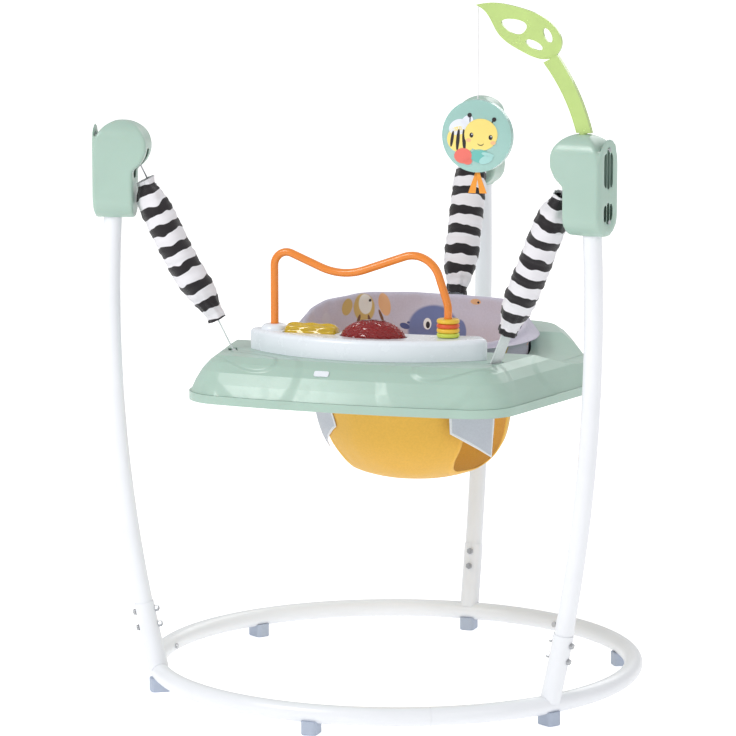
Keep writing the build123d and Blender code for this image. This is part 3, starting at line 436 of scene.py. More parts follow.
# ------------------------------------------------------------------ finishes
def make_finishes(colours):
    """Builds every material once."""
    GROUPS.update(grain=grain_group(), weave=weave_group(), spot=spot_group())
    mint, lilac, yellow = tuple(colours.mint), tuple(colours.lilac), tuple(colours.yellow)
    m = MATERIALS
    m["white tube"] = moulded("White powder coat", tone(243, 245, 250), 0.28, 1500, 0.00003, 0.03,
                              Coat_Weight=0.3,
                              Coat_Roughness=0.2)
    m["bright steel"] = moulded("Zinc plated steel", tone(190, 192, 196), 0.3, 2200, 0.00001, 0.1,
                                Metallic=1.0)
    m["sole"] = moulded("Grey sole rubber", tone(182, 192, 210), 0.6, 700, 0.00008, 0.1)
    m["white"] = moulded("White toy plastic", tone(236, 241, 248), 0.22, 1100, 0.00002, 0.03,
                         Coat_Weight=0.25)
    m["grey"] = moulded("Grey running plastic", tone(196, 198, 204), 0.4, 900, 0.00003, 0.05)
    m["orange"] = moulded("Orange arch plastic", tone(240, 138, 44), 0.25, 1100, 0.00002, 0.05,
                          Coat_Weight=0.3)
    m["yellow bead"] = moulded("Yellow bead plastic", tone(240, 196, 60), 0.3, 1100, 0.00002, 0.05)
    m["red bead"] = moulded("Red bead plastic", tone(226, 92, 48), 0.3, 1100, 0.00002, 0.05)
    m["lime bead"] = moulded("Lime bead plastic", tone(206, 220, 84), 0.3, 1100, 0.00002, 0.05)
    m["dark"] = moulded("Black print", tone(40, 34, 38), 0.4, 1100, 0.00001, 0.1)
    clear = dict(Transmission_Weight=0.35, IOR=1.49, Coat_Weight=0.5)
    m["yellow clear"] = moulded("Clear yellow toy", tone(246, 206, 40), 0.1, 800, 0.00002, 0.12, **clear)
    m["red clear"] = moulded("Clear red toy", tone(168, 12, 16), 0.06, 800, 0.00002, 0.2, **clear)
    m["lime clear"] = moulded("Clear lime leaf", tone(214, 240, 150), 0.18, 900, 0.00002, 0.1,
                              Transmission_Weight=0.25,
                              IOR=1.4, Coat_Weight=0.3)
    m["aqua clear"] = moulded("Clear aqua shell", tone(188, 232, 224), 0.15, 900, 0.00002, 0.08,
                              Transmission_Weight=0.3, IOR=1.4, Coat_Weight=0.4)
    m["mint"] = mint_plastic("Mint moulding", mint)
    m["tray mint"] = mint_plastic("Mint tray moulding", mint, TRAY_MARKS)
    m["zebra"] = zebra_fabric()
    m["webbing"] = fabric("Pale webbing", tone(222, 230, 230), 420, 0.8, 0.0003)
    m["lilac print"] = fabric("Lilac print", lilac, 900, 0.85, 0.00012, LINING_MARKS)
    m["yellow cloth"] = fabric("Yellow cloth", yellow, 900, 0.8, 0.00015, uv=False)
    m["bucket print"] = fabric("Brown print", tone(196, 124, 48), 900, 0.85, 0.00012, BUCKET_MARKS)
    m["binding"] = fabric("Yellow binding", shaded(yellow, 1.06), 700, 0.75, 0.0002, uv=False)
    m["flap"] = fabric("Grey flap cloth", tone(200, 203, 214), 900, 0.7, 0.0001)
    m["flap binding"] = fabric("White binding", tone(240, 240, 244), 700, 0.75, 0.0002, uv=False)
    m["string"] = fabric("White string", tone(238, 238, 240), 900, 0.8, 0.0001, uv=False)
    m["ribbon"] = fabric("Orange ribbon", tone(246, 158, 40), 1300, 0.45, 0.0001, Sheen_Weight=0.4)
    for label, ink in (("face yellow", tone(246, 224, 128)), ("wing white", tone(232, 236, 246)),
                       ("coral", tone(236, 116, 104)), ("teal", tone(110, 190, 182)),
                       ("pale teal", tone(168, 216, 212)), ("blush", tone(244, 190, 140))):
        m[label] = moulded(label.title() + " print", ink, 0.35, 1100, 0.00001, 0.04)


def mint_plastic(name, colour, marks=()):
    """Semi-gloss mint plastic, with pressed swooshes where marks are given."""
    material, tree, shader = blank_material(name, Coat_Weight=0.15, Coat_Roughness=0.25,
                                            Subsurface_Weight=0.04,
                                            Subsurface_Scale=0.004)
    place = tree.nodes.new("ShaderNodeTexCoord")
    grain = use_group(material, "grain", place.outputs["Object"], Scale=1000.0)
    tree.links.new(mix_colour(tree, grain.outputs["Drift"], shaded(colour, 0.95), colour),
                   shader.inputs["Base Color"])
    tree.links.new(range_node(tree, grain.outputs["Handling"], 0.0, 1.0, 0.28, 0.38),
                   shader.inputs["Roughness"])
    fine = bump(tree, shader, grain.outputs["Height"], 0.00003)
    height = None
    for across, up, wide, high, turn, rise in marks:
        spot = use_group(material, "spot", place.outputs["Object"], Across=across * MM,
                         Up=up * MM + RING_Y, Turn=math.radians(turn), Half_width=wide * MM,
                         Half_height=high * MM,
                         Edge=0.10)
        part = math_node(tree, "MULTIPLY", spot.outputs["Mask"], rise)
        height = part if height is None else math_node(tree, "ADD", height, part)
    if height is not None:
        pressed = tree.nodes.new("ShaderNodeBump")
        pressed.inputs["Distance"].default_value = 0.004
        tree.links.new(height, pressed.inputs["Height"])
        tree.links.new(pressed.outputs["Normal"], fine.inputs["Normal"])
    return material


BAND_PERIOD, BAND_WARP = 0.0345, 0.0035   # of the sleeves' bands, in metres


def zebra_fabric():
    """Black and white banded knit, banded along the UV's second measure."""
    material, tree, shader = blank_material("Zebra knit", Roughness=0.9, Sheen_Weight=0.3)
    place = tree.nodes.new("ShaderNodeTexCoord")
    sides = tree.nodes.new("ShaderNodeSeparateXYZ")
    tree.links.new(place.outputs["UV"], sides.inputs[0])
    warp = noise_node(tree, place.outputs["Object"], 42.0, 1.0, 0.4)
    warp = range_node(tree, warp, 0.25, 0.75, -BAND_WARP, BAND_WARP, smooth=False)
    down = math_node(tree, "ADD", sides.outputs["Y"], warp)
    wave = math_node(tree, "SINE", math_node(tree, "MULTIPLY", down, 2 * math.pi / BAND_PERIOD))
    band = range_node(tree, wave, -0.16, -0.02, 0.0, 1.0)
    tree.links.new(mix_colour(tree, band, tone(30, 25, 30), tone(238, 236, 241)),
                   shader.inputs["Base Color"])
    cloth = use_group(material, "weave", place.outputs["UV"], Threads=700.0)
    bump(tree, shader, cloth.outputs["Height"], 0.0002)
    return material


INK = {"blue": tone(112, 124, 172), "deep blue": tone(78, 88, 140), "white": tone(244, 244, 246),
       "dark": tone(44, 40, 48), "cream": tone(232, 230, 224), "ochre": tone(206, 176, 110),
       "peach": tone(226, 176, 132), "brown": tone(122, 84, 60), "orange": tone(238, 152, 66),
       "grey": tone(160, 160, 176), "pale": tone(206, 203, 216)}


def on_back(azimuth, height, wide, high, turn, ink):
    """A mark on the lining at an azimuth in degrees and a height in mm."""
    return (math.radians(azimuth) * 181, height, wide, high, turn, INK[ink])


LINING_MARKS = [
    on_back(*mark) for mark in (
        (98, 556, 45, 40, 0, "blue"), (84, 548, 16, 26, 10, "blue"), (114, 560, 9, 5, 20, "deep blue"),
        (101.5, 564, 7, 10, 0, "white"), (101.2, 562, 3.6, 6, 0, "dark"), (112, 566, 2.6, 2.0, 0,
                                                                           "deep blue"),
        (148, 598, 11, 15, 25, "ochre"), (125, 598, 10, 20, -12, "peach"), (137, 594, 21, 24, 0, "ochre"),
        (136, 600, 13, 17, 0, "cream"), (141, 573, 3, 11, 22, "brown"), (134, 570, 3, 12, -10, "brown"),
        (127, 578, 2.5, 12, -18, "brown"), (133, 606, 2.6, 2.6, 0, "dark"),
        (74, 606, 10, 5, 0, "peach"), (72.5, 605, 2.4, 2.0, 0, "dark"), (48, 596, 7, 14, 15, "ochre"),
        (49, 588, 3, 6, 10, "brown"), (62, 574, 1.8, 1.8, 0, "pale"), (68, 560, 1.8, 1.8, 0, "pale"),
        (165, 584, 12, 9, 0, "pale"), (24, 578, 10, 16, 0, "blue"), (8, 566, 9, 7, 30, "orange"),
        (7, 566, 3, 2.4, 0, "brown"), (-22, 560, 12, 9, 0, "ochre"), (205, 566, 16, 10, 0, "blue"))]
BUCKET_MARKS = [
    (x, z, w, h, t, INK[i]) for x, z, w, h, t, i in (
        (-70, 470, 60, 46, 0, "blue"), (-40, 452, 18, 14, 0, "deep blue"), (60, 480, 90, 44, 0, "pale"),
        (-20, 372, 7, 5, 20, "brown"), (12, 388, 7, 5, 60, "brown"), (34, 366, 6, 4, 0, "brown"),
        (-52, 392, 6, 5, 40, "brown"), (58, 398, 7, 4, 10, "brown"), (2, 350, 6, 6, 0, "cream"))]
TRAY_MARKS = ((168, -236, 104, 50, 24, 0.7), (178, -226, 66, 26, 24, 0.9), (-168, -236, 104, 50, -24, 0.7),
              (-178, -226, 66, 26, -24, 0.9), (292, 20, 30, 120, -6, 0.6), (-292, 20, 30, 120, 6, 0.6))


# ------------------------------------------------------------------ user settings
class JumperColours(bpy.types.PropertyGroup):
    """Colours of the plastics and fabrics."""
    mint: bpy.props.FloatVectorProperty(name="Plastic", description="Colour of the tray and caps", size=4,
                                        subtype="COLOR", default=tone(174, 201, 188), min=0, max=1)
    lilac: bpy.props.FloatVectorProperty(name="Lining", description="Ground colour of the printed lining",
                                         size=4,
                                         subtype="COLOR", default=tone(204, 199, 216), min=0, max=1)
    yellow: bpy.props.FloatVectorProperty(name="Seat", description="Colour of the seat's outside", size=4,
                                          subtype="COLOR", default=tone(242, 188, 76), min=0, max=1)


class JumperSizes(bpy.types.PropertyGroup):
    """Sizes of the soft pieces."""
    sleeve_half: bpy.props.FloatProperty(name="Sleeve half width",
                                         description="Half the width of a spring sleeve",
                                         default=0.0285, unit="LENGTH")
    sleeve_fold: bpy.props.FloatProperty(name="Sleeve fold", description="Depth of the sleeve's gathers",
                                         default=0.0022, unit="LENGTH")
    back_height: bpy.props.FloatProperty(name="Back height",
                                         description="Height of the lining at the child's back",
                                         default=0.620, unit="LENGTH")
    binding_half: bpy.props.FloatProperty(name="Binding half width",
                                          description="Half width of the leg holes' binding",
                                          default=0.0042, unit="LENGTH")
    cloth_fold: bpy.props.FloatProperty(name="Cloth fold", description="Depth of the seat cloth's folds",
                                        default=0.0026, unit="LENGTH")


# ------------------------------------------------------------------ hard pieces
NODE_FINISH = {
    "ring_section": "white tube", "post_stub": "white tube", "post_bolts": "bright steel",
    "post_nuts": "bright steel",
    "post_": "white tube", "ring_screws": "bright steel", "feet": "sole", "cap_body": "mint",
    "cap_cover": "mint",
    "cap_screws": "bright steel", "hanger_pin": "bright steel", "strap_rings": "bright steel",
    "strap_bars": "bright steel", "tray_upper": "tray mint", "tray_lower": "tray mint",
    "tray_screws": "bright steel", "tray_badge": "white", "toy_panel": "white", "arch": "orange",
    "bead_1": "lime bead", "bead_2": "yellow bead", "bead_3": "red bead", "bead_4": "yellow bead",
    "roller_axle": "bright steel", "roller": "yellow clear", "dome_spring": "bright steel",
    "seat_ring": "grey",
    "seat_glides": "grey", "leaf_arm": "lime clear", "pendant_front": "aqua clear",
    "pendant_back": "aqua clear"}


CAP_VOXEL, CAP_ROUNDING = 0.0022, 16   # the caps are blended over a few voxels


class JUMPER_OT_hard_pieces(bpy.types.Operator):
    """Give the frame, caps, tray and toys their plastics and metals"""
    bl_idname = "jumper.hard_pieces"
    bl_label = "Finish hard pieces"

    def execute(self, context):
        make_finishes(context.scene.jumper_colours)
        for node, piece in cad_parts.items():
            for start, finish in NODE_FINISH.items():
                if node.startswith(start):
                    dress(piece, MATERIALS[finish])
                    break
        for side in SIDES:
            pod, cover = copy_of(f"cap_body_{side}", f"cap_pod_{side}"), copy_of(f"cap_cover_{side}",
                                                                                 "cover")
            clear_selection()
            cover.select_set(True)
            pod.select_set(True)
            bpy.context.view_layer.objects.active = pod
            bpy.ops.object.join()
            finish_modifier(pod, "REMESH", mode="VOXEL", voxel_size=CAP_VOXEL)
            finish_modifier(pod, "SMOOTH", factor=0.5, iterations=CAP_ROUNDING)
            smooth(pod, 60)
            dress(pod, MATERIALS["mint"])
            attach(pod, "frame")
            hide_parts(f"cap_body_{side}", f"cap_cover_{side}")
        return {"FINISHED"}


# ------------------------------------------------------------------ springs, sleeves and straps
def hang_frame(side):
    """The spring's line of one side: the pin, the line down, the webbing's width and the third direction."""
    pin = middle(f"hanger_pin_{side}")
    down = (ANCHORS[side] - pin).normalized()
    across = Vector((0, 0, 1)).cross(down).normalized()
    return pin, down, across, down.cross(across)


SLEEVE_SHAPE = ((0.042, 0.56), (0.054, 0.54), (0.068, 0.80), (0.090, 0.96), (0.125, 1.0), (0.17, 0.98),
                (0.215, 1.0), (0.248, 0.92), (0.268, 0.74), (0.284, 0.56), (0.298, 0.58))
SLEEVE_BULGE = {"left": 0.012, "right": 0.0, "rear": 0.0}   # how far the cloth lies to the outer side


def sleeve_at(side, sizes, seed):
    """Where a point of one sleeve lies, by its turn and distance from the pin."""
    pin, down, across, out = hang_frame(side)
    aside = Vector((ANCHORS[side].x, ANCHORS[side].y - SEAT.y, 0)).normalized() * SLEEVE_BULGE[side]

    def place(turn, distance):
        share = along(SLEEVE_SHAPE, distance)
        centre = pin + down * distance + aside * ease(0.02, 0.07, distance) * (1 - ease(0.20, 0.29,
                                                                                        distance))
        ends = 1 - ease(0.075, 0.12, distance) + ease(0.235, 0.27, distance)
        ring = noise.noise(Vector((math.cos(turn) * 0.5, math.sin(turn) * 0.5,
                                   distance / 0.0085)) + Vector((seed, 0, 0)))
        slow = noise.noise(Vector((math.cos(turn), math.sin(turn), distance / 0.035)) + Vector((0, seed, 0)))
        pleat = math.sin(7 * turn + 3 * slow) * ends
        fold = sizes.sleeve_fold * (ring + 0.9 * slow + 0.5 * pleat)
        wide = sizes.sleeve_half * share + fold
        return centre + across * wide * math.cos(turn) + out * (wide * 0.92) * math.sin(turn)

    return place


class JUMPER_OT_sleeves(bpy.types.Operator):
    """Model the striped sleeves, the springs in them and the webbing below"""
    bl_idname = "jumper.sleeves"
    bl_label = "Model sleeves"

    def execute(self, context):
        sizes = context.scene.jumper_sizes
        around, rows = 56, 150
        for seed, side in enumerate(SIDES):
            pin, down, across, _ = hang_frame(side)
            place = sleeve_at(side, sizes, 3.1 + 5.3 * seed)
            low, high = SLEEVE_SHAPE[0][0], SLEEVE_SHAPE[-1][0]
            sleeve = patch(f"sleeve_cloth_{side}", around, rows)

            def on_sleeve(u, v):
                distance = low + (high - low) * v
                return place(2 * math.pi * u, distance), (u * 0.170, distance + 0.006 * seed)

            shape_patch(sleeve, on_sleeve)
            mend(sleeve)
            finish_modifier(sleeve, "SOLIDIFY", thickness=0.0012, offset=-1)
            smooth(sleeve, 180)
            dress(sleeve, MATERIALS["zebra"])
            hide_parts(f"sleeve_{side}")
            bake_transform(sleeve)

            spring = copy_of(f"spring_{side}", f"spring_wire_{side}")
            smooth(spring, 50)
            dress(spring, MATERIALS["bright steel"])
            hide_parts(f"spring_{side}")
            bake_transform(spring)

            strap = copy_of(f"strap_{side}", f"webbing_{side}")
            smooth(strap, 40)
            uvs = []
            for vertex in strap.data.vertices:
                reach = vertex.co - pin
                uvs.append((reach.dot(across), reach.dot(down)))
            set_uv(strap, uvs)
            dress(strap, MATERIALS["webbing"])
            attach(strap, "tray")
            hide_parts(f"strap_{side}")
        return {"FINISHED"}


# ------------------------------------------------------------------ seat
BACK_STATIONS = ((-180, 0.603), (-166, 0.5935), (-150, 0.582), (-120, 0.576), (-60, 0.576), (-20, 0.580),
                 (5, 0.592), (25, 0.606), (40, 0.617), (85, 0.6155), (130, 1.0), (150, 0.617), (165, 0.612),
                 (180, 0.603))


def back_top(turn, height):
    """Height of the lining's top edge at an azimuth in radians."""
    azimuth = (math.degrees(turn) + 180) % 360 - 180
    value = along([(a, height if z == 1.0 else z) for a, z in BACK_STATIONS], azimuth)
    return value + 0.0016 * noise.noise(Vector((math.cos(turn) * 5, math.sin(turn) * 5, 0)))


def lining_section(top, flare):
    """The lining's section as (radius, height) points: up inside the ring, over it and down its outside."""
    inner = [(183.3, 500), (180.2, 500), (179.8, 512), (179.6, 524), (179.6, 536), (179.8, 548),
             (180.0, 560)]
    for k in range(1, 6):
        inner.append((180.2 + 1.6 * k / 5, 560 + (top - 566) * k / 5))
    crest = [(183.6, top - 2.0), (186.4, top), (189.6, top - 0.6), (192.6, top - 4.0), (194.6, top - 9)]
    outer = []
    for k in range(1, 6):
        outer.append((194.6 + flare * k / 5, top - 9 + (572 - top + 9) * k / 5))
    under = [(194.0, 566), (192.8, 556), (192.5, 545), (192.4, 534), (188.7, 534), (188.7, 548),
             (188.6, 562),
             (186.0, 567), (183.4, 562), (183.3, 548), (183.3, 530), (183.3, 515)]
    return inner + crest + outer + under


class JUMPER_OT_lining(bpy.types.Operator):
    """Model the padded printed lining that rolls over the seat's ring"""
    bl_idname = "jumper.lining"
    bl_label = "Model lining"

    def execute(self, context):
        sizes = context.scene.jumper_sizes
        count = len(lining_section(600, 0))

        def place(turn, k):
            top = back_top(turn, sizes.back_height)
            azimuth = math.degrees(turn)
            sideways = max(ease(-70, -10, azimuth if azimuth < 180 else azimuth - 360)
                           * (1 - ease(10, 60, azimuth if azimuth < 180 else azimuth - 360)),
                           ease(140, 190, azimuth) * (1 - ease(200, 250, azimuth)))
            radius, height = lining_section(top / MM, 3 + 17 * sideways)[k]
            loose = 1.0 if 6 <= k <= 22 else 0.0
            free = ease(0.566, 0.60, height * MM)
            point = Vector((math.cos(turn) * 0.19, math.sin(turn) * 0.19, height * MM * 0.6))
            fold = (ruffle(point, 0.034, 1.3) + 0.5 * ruffle(point, 0.013, 4.1)) * sizes.cloth_fold * loose
            lean = 4.0 * free * ease(0.2, 1.0, math.sin(turn))
            radius = radius * MM + fold * (0.4 + 0.9 * free) + lean * MM
            spot = SEAT + Vector((math.cos(turn) * radius, math.sin(turn) * radius, height * MM))
            shift = turn if turn < math.radians(270) else turn - 2 * math.pi
            return spot, (shift * 0.181, height * MM)

        lining = ring_patch("seat_lining_cloth", 220, count, place)
        finish_modifier(lining, "SUBSURF", levels=1, render_levels=1)
        smooth(lining, 180)
        dress(lining, MATERIALS["lilac print"])
        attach(lining, "seat")
        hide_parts("seat_lining")
        return {"FINISHED"}


BUCKET_SIDE = ((0.0, 512, 179), (0.07, 498, 175.5), (0.28, 448, 165.5), (0.52, 392, 150), (0.72, 350, 114),
               (0.86, 333, 66), (1.0, 328, 0))
HOLE_HALF, HOLE_LOW, HOLE_HIGH, HOLE_ROUND = 60.0, 346.0, 494.0, 38.0
BUCKET_LEAN = 0.016   # how far the cloth hangs back at the bottom, in metres
FLAP_RADIUS = 181.6
FLAP_CORNERS = ((96, 500), (8, 500), (25, 384), (96, 430))   # from the hole's middle, and height, in mm


def bucket_at(share):
    """Radius and height of the bucket's side at a share of its length, in mm."""
    return (along([(s, r) for s, _, r in BUCKET_SIDE], share), along([(s, z) for s, z, _ in BUCKET_SIDE],
                                                                     share))


def bucket_radius(height):
    """The bucket's radius at a height, in mm."""
    return along([(-z, r) for _, z, r in BUCKET_SIDE], -height)


def leg_frame(side):
    """Which way a leg hole faces, and its own right-hand direction."""
    turn = math.radians(-20 if side > 0 else 200)
    out = Vector((math.cos(turn), math.sin(turn), 0))
    return out, Vector((-out.y, out.x, 0))


def hole_outline(turn):
    """A point of a leg hole's rounded outline: across and height, in mm."""
    half, tall = HOLE_HALF - HOLE_ROUND, (HOLE_HIGH - HOLE_LOW) / 2 - HOLE_ROUND
    x, y = math.cos(turn), math.sin(turn)
    across = max(-half, min(half, x * 200)) + HOLE_ROUND * x
    rise = max(-tall, min(tall, y * 200)) + HOLE_ROUND * y
    return across, (HOLE_LOW + HOLE_HIGH) / 2 + rise


def in_hole(across, height, spare=0.0):
    """Whether a point lies in a leg hole."""
    half, tall = HOLE_HALF - HOLE_ROUND, (HOLE_HIGH - HOLE_LOW) / 2 - HOLE_ROUND
    right = max(abs(across) - half, 0)
    up = max(abs(height - (HOLE_LOW + HOLE_HIGH) / 2) - tall, 0)
    return math.hypot(right, up) < HOLE_ROUND - spare


def lean_back(piece):
    """Lets the seat's cloth hang further back the lower it is."""
    for vertex in piece.data.vertices:
        vertex.co.y += BUCKET_LEAN * (1 - ease(0.33, 0.50, vertex.co.z))


class JUMPER_OT_bucket(bpy.types.Operator):
    """Model the seat's sewn bucket, the binding of its leg holes and the flaps"""
    bl_idname = "jumper.bucket"
    bl_label = "Model bucket"

    def execute(self, context):
        sizes = context.scene.jumper_sizes
        bucket = patch("seat_bucket_cloth", 200, 60)

        def place(u, v):
            turn = 2 * math.pi * u
            radius, height = bucket_at(v)
            fade = ease(0.02, 0.15, v) * (1 - ease(0.86, 1.0, v))
            point = Vector((math.cos(turn) * radius, math.sin(turn) * radius, height * 0.35)) * MM
            fold = (ruffle(point, 0.055, 7.7) + 0.35 * ruffle(point, 0.02, 2.2)) * sizes.cloth_fold * fade
            reach = radius * MM + fold
            spot = SEAT + Vector((math.cos(turn) * reach, math.sin(turn) * reach, height * MM))
            return spot, ((u - 0.5) * 0.9, height * MM)

        shape_patch(bucket, place)
        mend(bucket, 1e-4)
        self.cut_holes(bucket)
        finish_modifier(bucket, "SOLIDIFY", thickness=0.0026, offset=-1, material_offset=1,
                        material_offset_rim=0)
        lean_back(bucket)
        smooth(bucket, 60)
        dress(bucket, MATERIALS["yellow cloth"], MATERIALS["bucket print"])
        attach(bucket, "seat")
        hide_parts("seat_bucket")
        for side, word in ((1, "right"), (-1, "left")):
            self.bind_hole(side, word, sizes.binding_half)
            self.hang_flap(side, word)
        return {"FINISHED"}

    def cut_holes(self, bucket):
        """Deletes the cloth inside the leg holes."""
        clear_selection()
        bpy.context.view_layer.objects.active = bucket
        bucket.select_set(True)
        bpy.ops.object.mode_set(mode="EDIT")
        mesh = bmesh.from_edit_mesh(bucket.data)
        for face in mesh.faces:
            spot = (face.calc_center_median() - SEAT) / MM
            face.select = any(spot.dot(leg_frame(side)[0]) > 0 and in_hole(spot.dot(leg_frame(side)[1]),
                                                                           spot.z)
                              for side in (1, -1))
        bmesh.update_edit_mesh(bucket.data)
        bpy.ops.mesh.delete(type="FACE")
        bpy.ops.object.mode_set(mode="OBJECT")

    def bind_hole(self, side, word, half):
        """A folded binding round a leg hole."""
        out, right = leg_frame(side)

        def place(turn, k):
            across, height = hole_outline(turn)
            centre_up = (HOLE_LOW + HOLE_HIGH) / 2
            lean = Vector((across, 0, height - centre_up)).normalized()
            roll = 2 * math.pi * k / 10
            across += lean.x * half / MM * math.cos(roll)
            height += lean.z * half / MM * math.cos(roll)
            radius = bucket_radius(height) + 0.45 * half / MM * math.sin(roll) - 0.8
            depth = math.sqrt(max(radius ** 2 - across ** 2, 1))
            spot = SEAT + (out * depth + right * across + Vector((0, 0, height))) * MM
            return spot, (turn * 0.07, k * 0.001)

        binding = ring_patch(f"leg_binding_{word}", 120, 10, place)
        lean_back(binding)
        smooth(binding, 180)
        dress(binding, MATERIALS["binding"])
        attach(binding, "seat")

    def hang_flap(self, side, word):
        """A coated flap that hangs over the front of a leg hole, with a sewn edge."""
        out, right = leg_frame(side)
        corners = [(-side * across, height) for across, height in FLAP_CORNERS]

        def lay(u, v):
            top = [corners[0][i] * (1 - u) + corners[1][i] * u for i in (0, 1)]
            low = [corners[3][i] * (1 - u) + corners[2][i] * u for i in (0, 1)]
            across, height = (top[i] * (1 - v) + low[i] * v for i in (0, 1))
            tucked = (FLAP_RADIUS - bucket_radius(height) - 3) * (1 - ease(470, 500,
                                                                           height)) if side < 0 else 0
            radius = FLAP_RADIUS - tucked + 0.5 * noise.noise(Vector((across, height, 0)) / 22)
            depth = math.sqrt(radius ** 2 - across ** 2)
            return SEAT + (out * depth + right * across + Vector((0, 0, height))) * MM, (across * MM,
                                                                                         height * MM)

        flap = patch(f"leg_flap_{word}", 30, 22)
        shape_patch(flap, lay)
        mend(flap)
        finish_modifier(flap, "SOLIDIFY", thickness=0.0010, offset=0)
        lean_back(flap)
        smooth(flap, 60)
        dress(flap, MATERIALS["flap"])
        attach(flap, "seat")
        path = [(0, 0), (0, 1), (1, 1), (1, 0)]
        binding = patch(f"flap_binding_{word}", 90, 6)

        def roll(u, v):
            reach = 3 * u * 0.9999
            part = min(int(reach), 2)
            t = reach - part
            spot = lay(*(path[part][i] * (1 - t) + path[part + 1][i] * t for i in (0, 1)))[0]
            inward = lay(0.5, 0.5)[0] - spot
            inward = inward.normalized() if inward.length else Vector((1, 0, 0))
            swing = 2 * math.pi * v
            return spot + inward * 0.0026 * math.cos(swing) + out * 0.0011 * math.sin(swing), (u * 0.2,
                                                                                               v * 0.006)

        shape_patch(binding, roll)
        mend(binding)
        lean_back(binding)
        smooth(binding, 180)
        dress(binding, MATERIALS["flap binding"])
        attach(binding, "seat")
        if side > 0:
            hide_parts("leg_flaps")


# ------------------------------------------------------------------ toys
class JUMPER_OT_toys(bpy.types.Operator):
    """Model the cut-glass button, the clear roller and the arch's boss"""
    bl_idname = "jumper.toys"
    bl_label = "Model toys"

    def execute(self, context):
        low, high = (Vector(c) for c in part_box("dome_button"))
        half = (high - low) / 2
        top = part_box("toy_panel")[1][2]
        base = top - 0.003
        clear_selection()
        bpy.ops.mesh.primitive_uv_sphere_add(segments=22, ring_count=14, radius=1, location=(0, 0, 0))
        dome = started("button_cut_glass")
        for vertex in dome.data.vertices:
            vertex.co = (vertex.co.x * half.x, vertex.co.y * half.y, vertex.co.z * (high.z - base))
        clear_selection()
        dome.select_set(True)
        bpy.context.view_layer.objects.active = dome
        bpy.ops.object.mode_set(mode="EDIT")
        bpy.ops.mesh.select_all(action="SELECT")
        bpy.ops.mesh.bisect(plane_co=(0, 0, -0.002), plane_no=(0, 0, 1), clear_inner=True, use_fill=True)
        bpy.ops.mesh.select_all(action="SELECT")
        bpy.ops.mesh.poke()
        bpy.ops.mesh.select_all(action="SELECT")
        bpy.ops.mesh.tris_convert_to_quads(face_threshold=1.2, shape_threshold=1.2)
        bpy.ops.mesh.inset(thickness=0.0009, depth=0.0007, use_individual=True)
        bpy.ops.object.mode_set(mode="OBJECT")
        centre = Vector(((low.x + high.x) / 2, (low.y + high.y) / 2, base))
        for vertex in dome.data.vertices:
            vertex.co += centre
        mend(dome)
        dress(dome, MATERIALS["red clear"])
        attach(dome, "dome")
        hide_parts("dome_button")

        self.make_roller()
        foot = Vector((-0.160, RING_Y - 0.140, top))
        boss = ring_patch("arch_boss", 64, 14, lambda turn, k: self.boss_point(foot, turn, k))
        smooth(boss, 50)
        dress(boss, MATERIALS["white"])
        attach(boss, "tray")
        return {"FINISHED"}

    def make_roller(self):
        """A clear lobed drum that turns on its axle."""
        low, high = (Vector(c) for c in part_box("roller"))
        centre, half, radius = (low + high) / 2, (high.x - low.x) / 2, (high.z - low.z) / 2
        clear_selection()
        bpy.ops.mesh.primitive_cylinder_add(vertices=96, radius=1, depth=2, end_fill_type="TRIFAN",
                                            rotation=(0, math.radians(90), 0))
        roller = started("roller_drum")
        bpy.ops.object.mode_set(mode="EDIT")
        for k in range(-11, 12):
            bpy.ops.mesh.select_all(action="SELECT")
            bpy.ops.mesh.bisect(plane_co=(k / 12, 0, 0), plane_no=(1, 0, 0))
        bpy.ops.object.mode_set(mode="OBJECT")
        for vertex in roller.data.vertices:
            x, y, z = vertex.co
            turn = math.atan2(z, y)
            share = math.hypot(y, z)
            lobes = 0.90 + 0.09 * math.cos(8 * turn) * (0.6 + 0.4 * math.cos(2 * math.pi * x * 1.5))
            ends = math.sqrt(max(1 - abs(x) ** 8, 0.0)) * 0.3 + 0.7
            reach = radius * share * lobes * ends
            vertex.co = centre + Vector((x * half, math.cos(turn) * reach, math.sin(turn) * reach))
        mend(roller)
        smooth(roller, 50)
        dress(roller, MATERIALS["yellow clear"])
        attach(roller, "roller")
        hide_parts("roller")

    def boss_point(self, foot, turn, k):
        """Section of the boss round the arch's foot, as a turned ring."""
        section = ((22, -1.5), (21.6, 2), (20.4, 5), (18, 7.4), (14.6, 8.8), (11, 9.4), (8.6, 9.4),
                   (7.4, 8.6),
                   (7.0, 6), (7.0, 3), (7.0, 0.3), (10, -1.5), (14, -1.5), (18, -1.5))[k]
        return foot + Vector((math.cos(turn) * section[0], math.sin(turn) * section[0],
                              section[1])) * MM, (turn, k)


